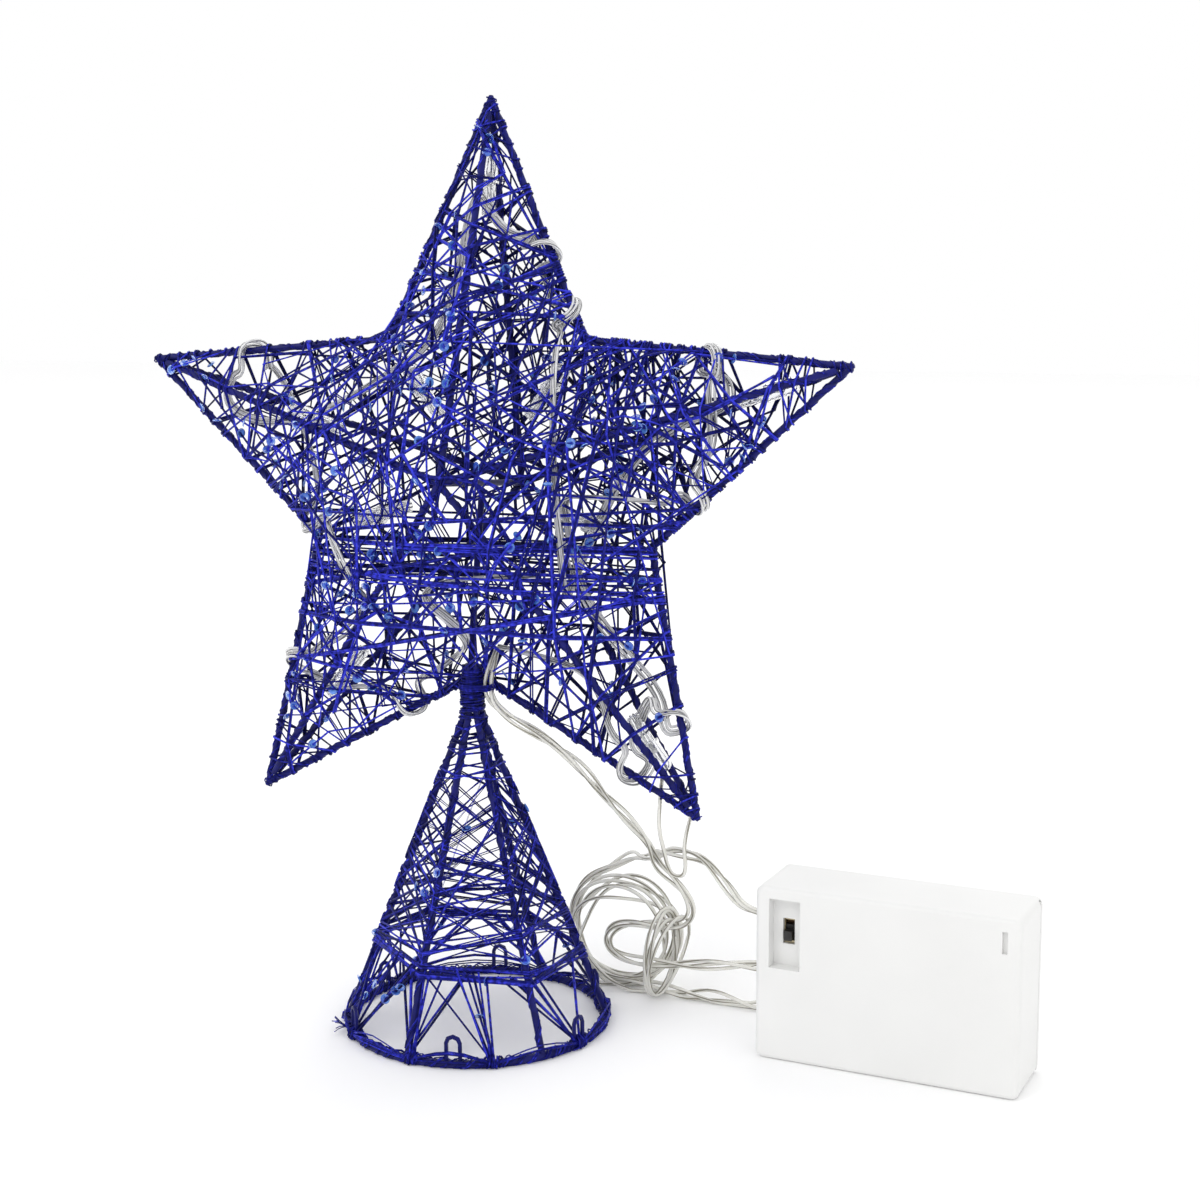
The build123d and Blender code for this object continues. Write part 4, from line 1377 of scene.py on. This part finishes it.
# light string: lamps in sleeves, and the wires that hook over the star's edges
lights = {
    "armShares": (0.78, 0.50, 0.62, 0.78, 0.78),
    "bodyArms": (0, 1, 3, 4),
    "bodyShare": 0.21,
    "sleeveLength": 8.4,
    "sleeveRadius": 1.85,
    "lensRadius": 2.6,
    "lensLength": 9.0,
    "domeShare": 0.9,
    "domeRings": 7,
    "gap": 0.05,
    "lampSides": 20,
    "cupSides": 12,
    "cup": ((0.3, 0.5), (2.4, 0.5), (2.5, 0.9), (3.4, 1.15), (3.5, 0.9), (3.0, 0.2)),
    "leadRadius": 0.28,
    "leadSides": 6,
    "strand": 0.38,
    "strandSides": 8,
    "strandPlaces": (-1.5, -0.5, 0.5, 1.5),
    "spread": 0.98,
    "wander": 0.3,
    "wanderRun": 7,
    "wanderStep": 2.3,
    "draw": 0.2,
    "drawRun": 11,
    "hookOut": 2.1,
    "hookHigh": 2.3,
    "hookDrift": 3.0,
    "clear": -5.5,
    "eye": (198.97, 8.3, 508.4),
    # (across, up) at the front thread, (across, up, depth), or (arm, hand, share, face) over an edge
    "route": (
        (17.6, -45.7), (29.1, -49), (35, -55), (38, -66), (3, -1, 0.30, 1), (44, -69, -4), (46, -61, -2),
        (50, -54, 3), (3, 1, 0.36, 1), (52, -54, -4), (40, -42, -4), (30, -30, -2), (25, -15, 4),
        (22.2, -2.6), (31, -2.9), (44.5, -3.2), (53, -4.5, -3), (4, -1, 0.75, -1), (63.6, 10.4),
        (63.1, 18.1), (62, 28.4), (4, 1, 0.52, 1), (67, 30, -4), (68, 22, 0), (56, 18, -4), (42, 8, -6),
        (32, -12, -5), (26, -27, 0), (24.3, -30.5), (22.7, -19.9), (20.8, -4), (19.4, 17.3),
        (19.8, 35.8), (22, 41), (0, -1, 0.86, 1), (18, 51, -4), (16, 56, -4), (0, -1, 0.63, -1),
        (14, 66), (6.3, 65.8), (-0.2, 72.8), (-3, 77, 0), (-6, 72, -3), (-8, 56, -5), (-14, 38, -7),
        (-32, 26, -6), (-52, 16, -3), (-68, 15, 0), (-78, 20), (-75.9, 27.9), (1, -1, 0.42, 1),
        (-64, 32, -4), (-58, 24, -7), (-51, 8, -7), (-49.5, 0, -5), (1, 1, 0.93, -1), (-44, -18),
        (-37, -30), (-32.5, -33.2), (-38, -42), (-47, -46), (2, -1, 0.50, 1), (-47, -56, -4),
        (-41, -58.7, 0), (-36, -57), (-28, -57), (2, 1, 0.70, 1), (-14, -53, -4), (-6, -47, 0),
        (-2.6, -42.7), (-8.6, -37.6), (-17.6, -31.2), (-11.8, -26.8), (5.7, -25.5), (17.1, -24.2),
    ),
}


def hookPoints(arm, hand, share, side, setup, last):
    # an open loop over an outline wire from one face to the other, begun on the side it comes from
    p, out = edgePoint(arm, hand, share), edgeOut(arm, hand)
    along = np.array((-out[1], out[0])) * setup["hookDrift"]
    if along.dot(np.array(last[:2]) - p) > 0:
        along = -along
    high, reach = setup["hookHigh"] * side, setup["hookOut"]
    spots = ((-6.0, 1.0, -1.0), (-1.0, 1.2, -1.0), (reach * 0.7, 0.9, -0.6), (reach, 0.0, 0.0),
             (reach * 0.7, -0.9, 0.6), (-1.0, -1.2, 1.0), (-6.0, -1.0, 1.0))
    return [(*(p + out * o + along * drift), high * n) for o, n, drift in spots]


def seenPlace(setup, u, w, *depth):
    # a place seen against the star's plane, moved along the line of sight to where the wire lies
    eye = setup["eye"]
    a, b = u, w
    for step in range(4):
        n = depth[0] if depth else threadTop(a, b, setup["clear"])
        a, b = u + (eye[0] - u) * n / eye[2], w + (eye[1] - w) * n / eye[2]
    return a, b, n


def makeStringWire(setup):
    start = np.array(leadWire["starEnd"]) - starCentre
    route = [tuple(start.dot(axis) for axis in (starAcross, starUp, starOut))]
    for stop in setup["route"]:
        if len(stop) == 4:
            route += hookPoints(*stop, setup, route[-1])
        else:
            route.append(seenPlace(setup, *stop))
    line = splinePoints([onStar(*p) for p in route], 5)
    a, b = tubeFrames(line)
    run = np.linspace(0, lengthOf(line) / mm, len(line))
    paths = []
    for k in setup["strandPlaces"]:
        # strands keep their order but draw together and part
        draw = 1 - setup["draw"] + setup["draw"] * np.sin(run / setup["drawRun"] + k)
        wide = k * draw * (setup["spread"] * mm)
        rise = setup["wander"] * mm * np.sin(run / setup["wanderRun"] + setup["wanderStep"] * k)
        paths.append((line + a * wide[:, None] + b * rise[:, None], setup["strand"] * mm, plainShade))
    piece = tubePiece("light_wires", paths, setup["strandSides"], silverStrand)
    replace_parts(piece, "light_string")
    print("light string", round(lengthOf(line), 3))


makeStringWire(lights)


def lampSeats(setup):
    seats = []
    for arm, share in enumerate(setup["armShares"]):
        way = unit(starTips[arm])
        seats.append((way * (share * star["tips"][arm] - setup["sleeveLength"]), way))
    for arm in setup["bodyArms"]:
        way = unit(starValleys[arm])
        seats.append((way * setup["bodyShare"] * star["tips"][arm], way))
    return seats


def lathePiece(name, seats, profile, mat, count):
    # the same turned profile on every lamp seat; profile is (along, radius) from foot to top
    runs, radii = np.array(profile).T
    verts, faces = [], []
    for foot, way in seats:
        along = starAcross * way[0] + starUp * way[1]
        centres = onStar(*foot, 0) + along * runs[:, None] * mm
        faces += ringFaces(len(verts), len(runs), count)
        verts += ringVerts(centres, np.cross(along, starOut), starOut, radii * mm, count).tolist()
    return meshPiece(name, verts, faces, mat, flatCaps=True)


def makeLamps(setup):
    seats, sides = lampSeats(setup), setup["lampSides"]
    length, radius = setup["sleeveLength"], setup["sleeveRadius"]
    sleeve = ((0, radius * 0.8), (0.5, radius), (length - 0.4, radius), (length, radius * 0.94))
    piece = lathePiece("sleeve_tubes", seats, sleeve, made["clearTube"], sides)
    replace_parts(piece, "lamp_sleeves")
    base = length + setup["gap"]
    r = setup["lensRadius"]
    dome = r * setup["domeShare"]
    lens = [(base, r * 0.98), (base + 0.2, r), (base + 0.9, r), (base + 1.1, dome)]
    top = base + setup["lensLength"] - dome
    for k in range(setup["domeRings"]):
        turn = math.pi / 2 * k / (setup["domeRings"] - 0.6)
        lens.append((top + dome * math.sin(turn), dome * math.cos(turn)))
    piece = lathePiece("lamp_lenses", seats, lens, made["clearLens"], sides)
    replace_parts(piece, "lamps")
    # the bright cup inside each lens, and the two leads through the sleeve
    cup = [(base + run, radius) for run, radius in setup["cup"]]
    lathePiece("lamp_cups", seats, cup, made["springSteel"], setup["cupSides"])
    marks = ((-0.4, 0.5), (length * 0.5, 0.55), (base, 0.6), (base + 1.6, 0.85))
    paths = []
    for foot, way in seats:
        cross = np.array((-way[1], way[0]))
        for hand in (-1, 1):
            line = [onStar(*(foot + way * run + cross * hand * out), 0) for run, out in marks]
            paths.append((np.array(line), setup["leadRadius"] * mm, plainShade))
    tubePiece("lamp_leads", paths, setup["leadSides"], silverStrand)


makeLamps(lights)
print("lamps set")

# thread that ties the lead to the neck
tieThread = {
    "turns": 4,
    "points": 16,
    "height": 94.0,
    "rise": 0.45,
    "neck": 3.55,
    "lead": (4.55, 1.3),
    "leadFrom": 0.3,
    "narrow": 0.5,
    "radius": 0.24,
    "sides": 5,
}


def makeTie(setup):
    # oval turns of thread round the neck and the lead
    points, line = setup["points"], []
    for k in range(setup["turns"] * points + 1):
        turn = fullTurn * k / points
        c, s = math.cos(turn), math.sin(turn)
        x, y = setup["neck"] * c, setup["neck"] * s
        if c >= setup["leadFrom"]:
            x, y = setup["lead"][0] + setup["lead"][1] * c, y * (1 - setup["narrow"] * c)
        line.append((x, y, setup["height"] + setup["rise"] * (k / points - setup["turns"] / 2)))
    paths = [(np.array(line) * mm, setup["radius"] * mm, plainShade)]
    piece = tubePiece("tie_thread", paths, setup["sides"], blueThread)
    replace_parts(piece, "lead_tie")


makeTie(tieThread)
print("lead tied")
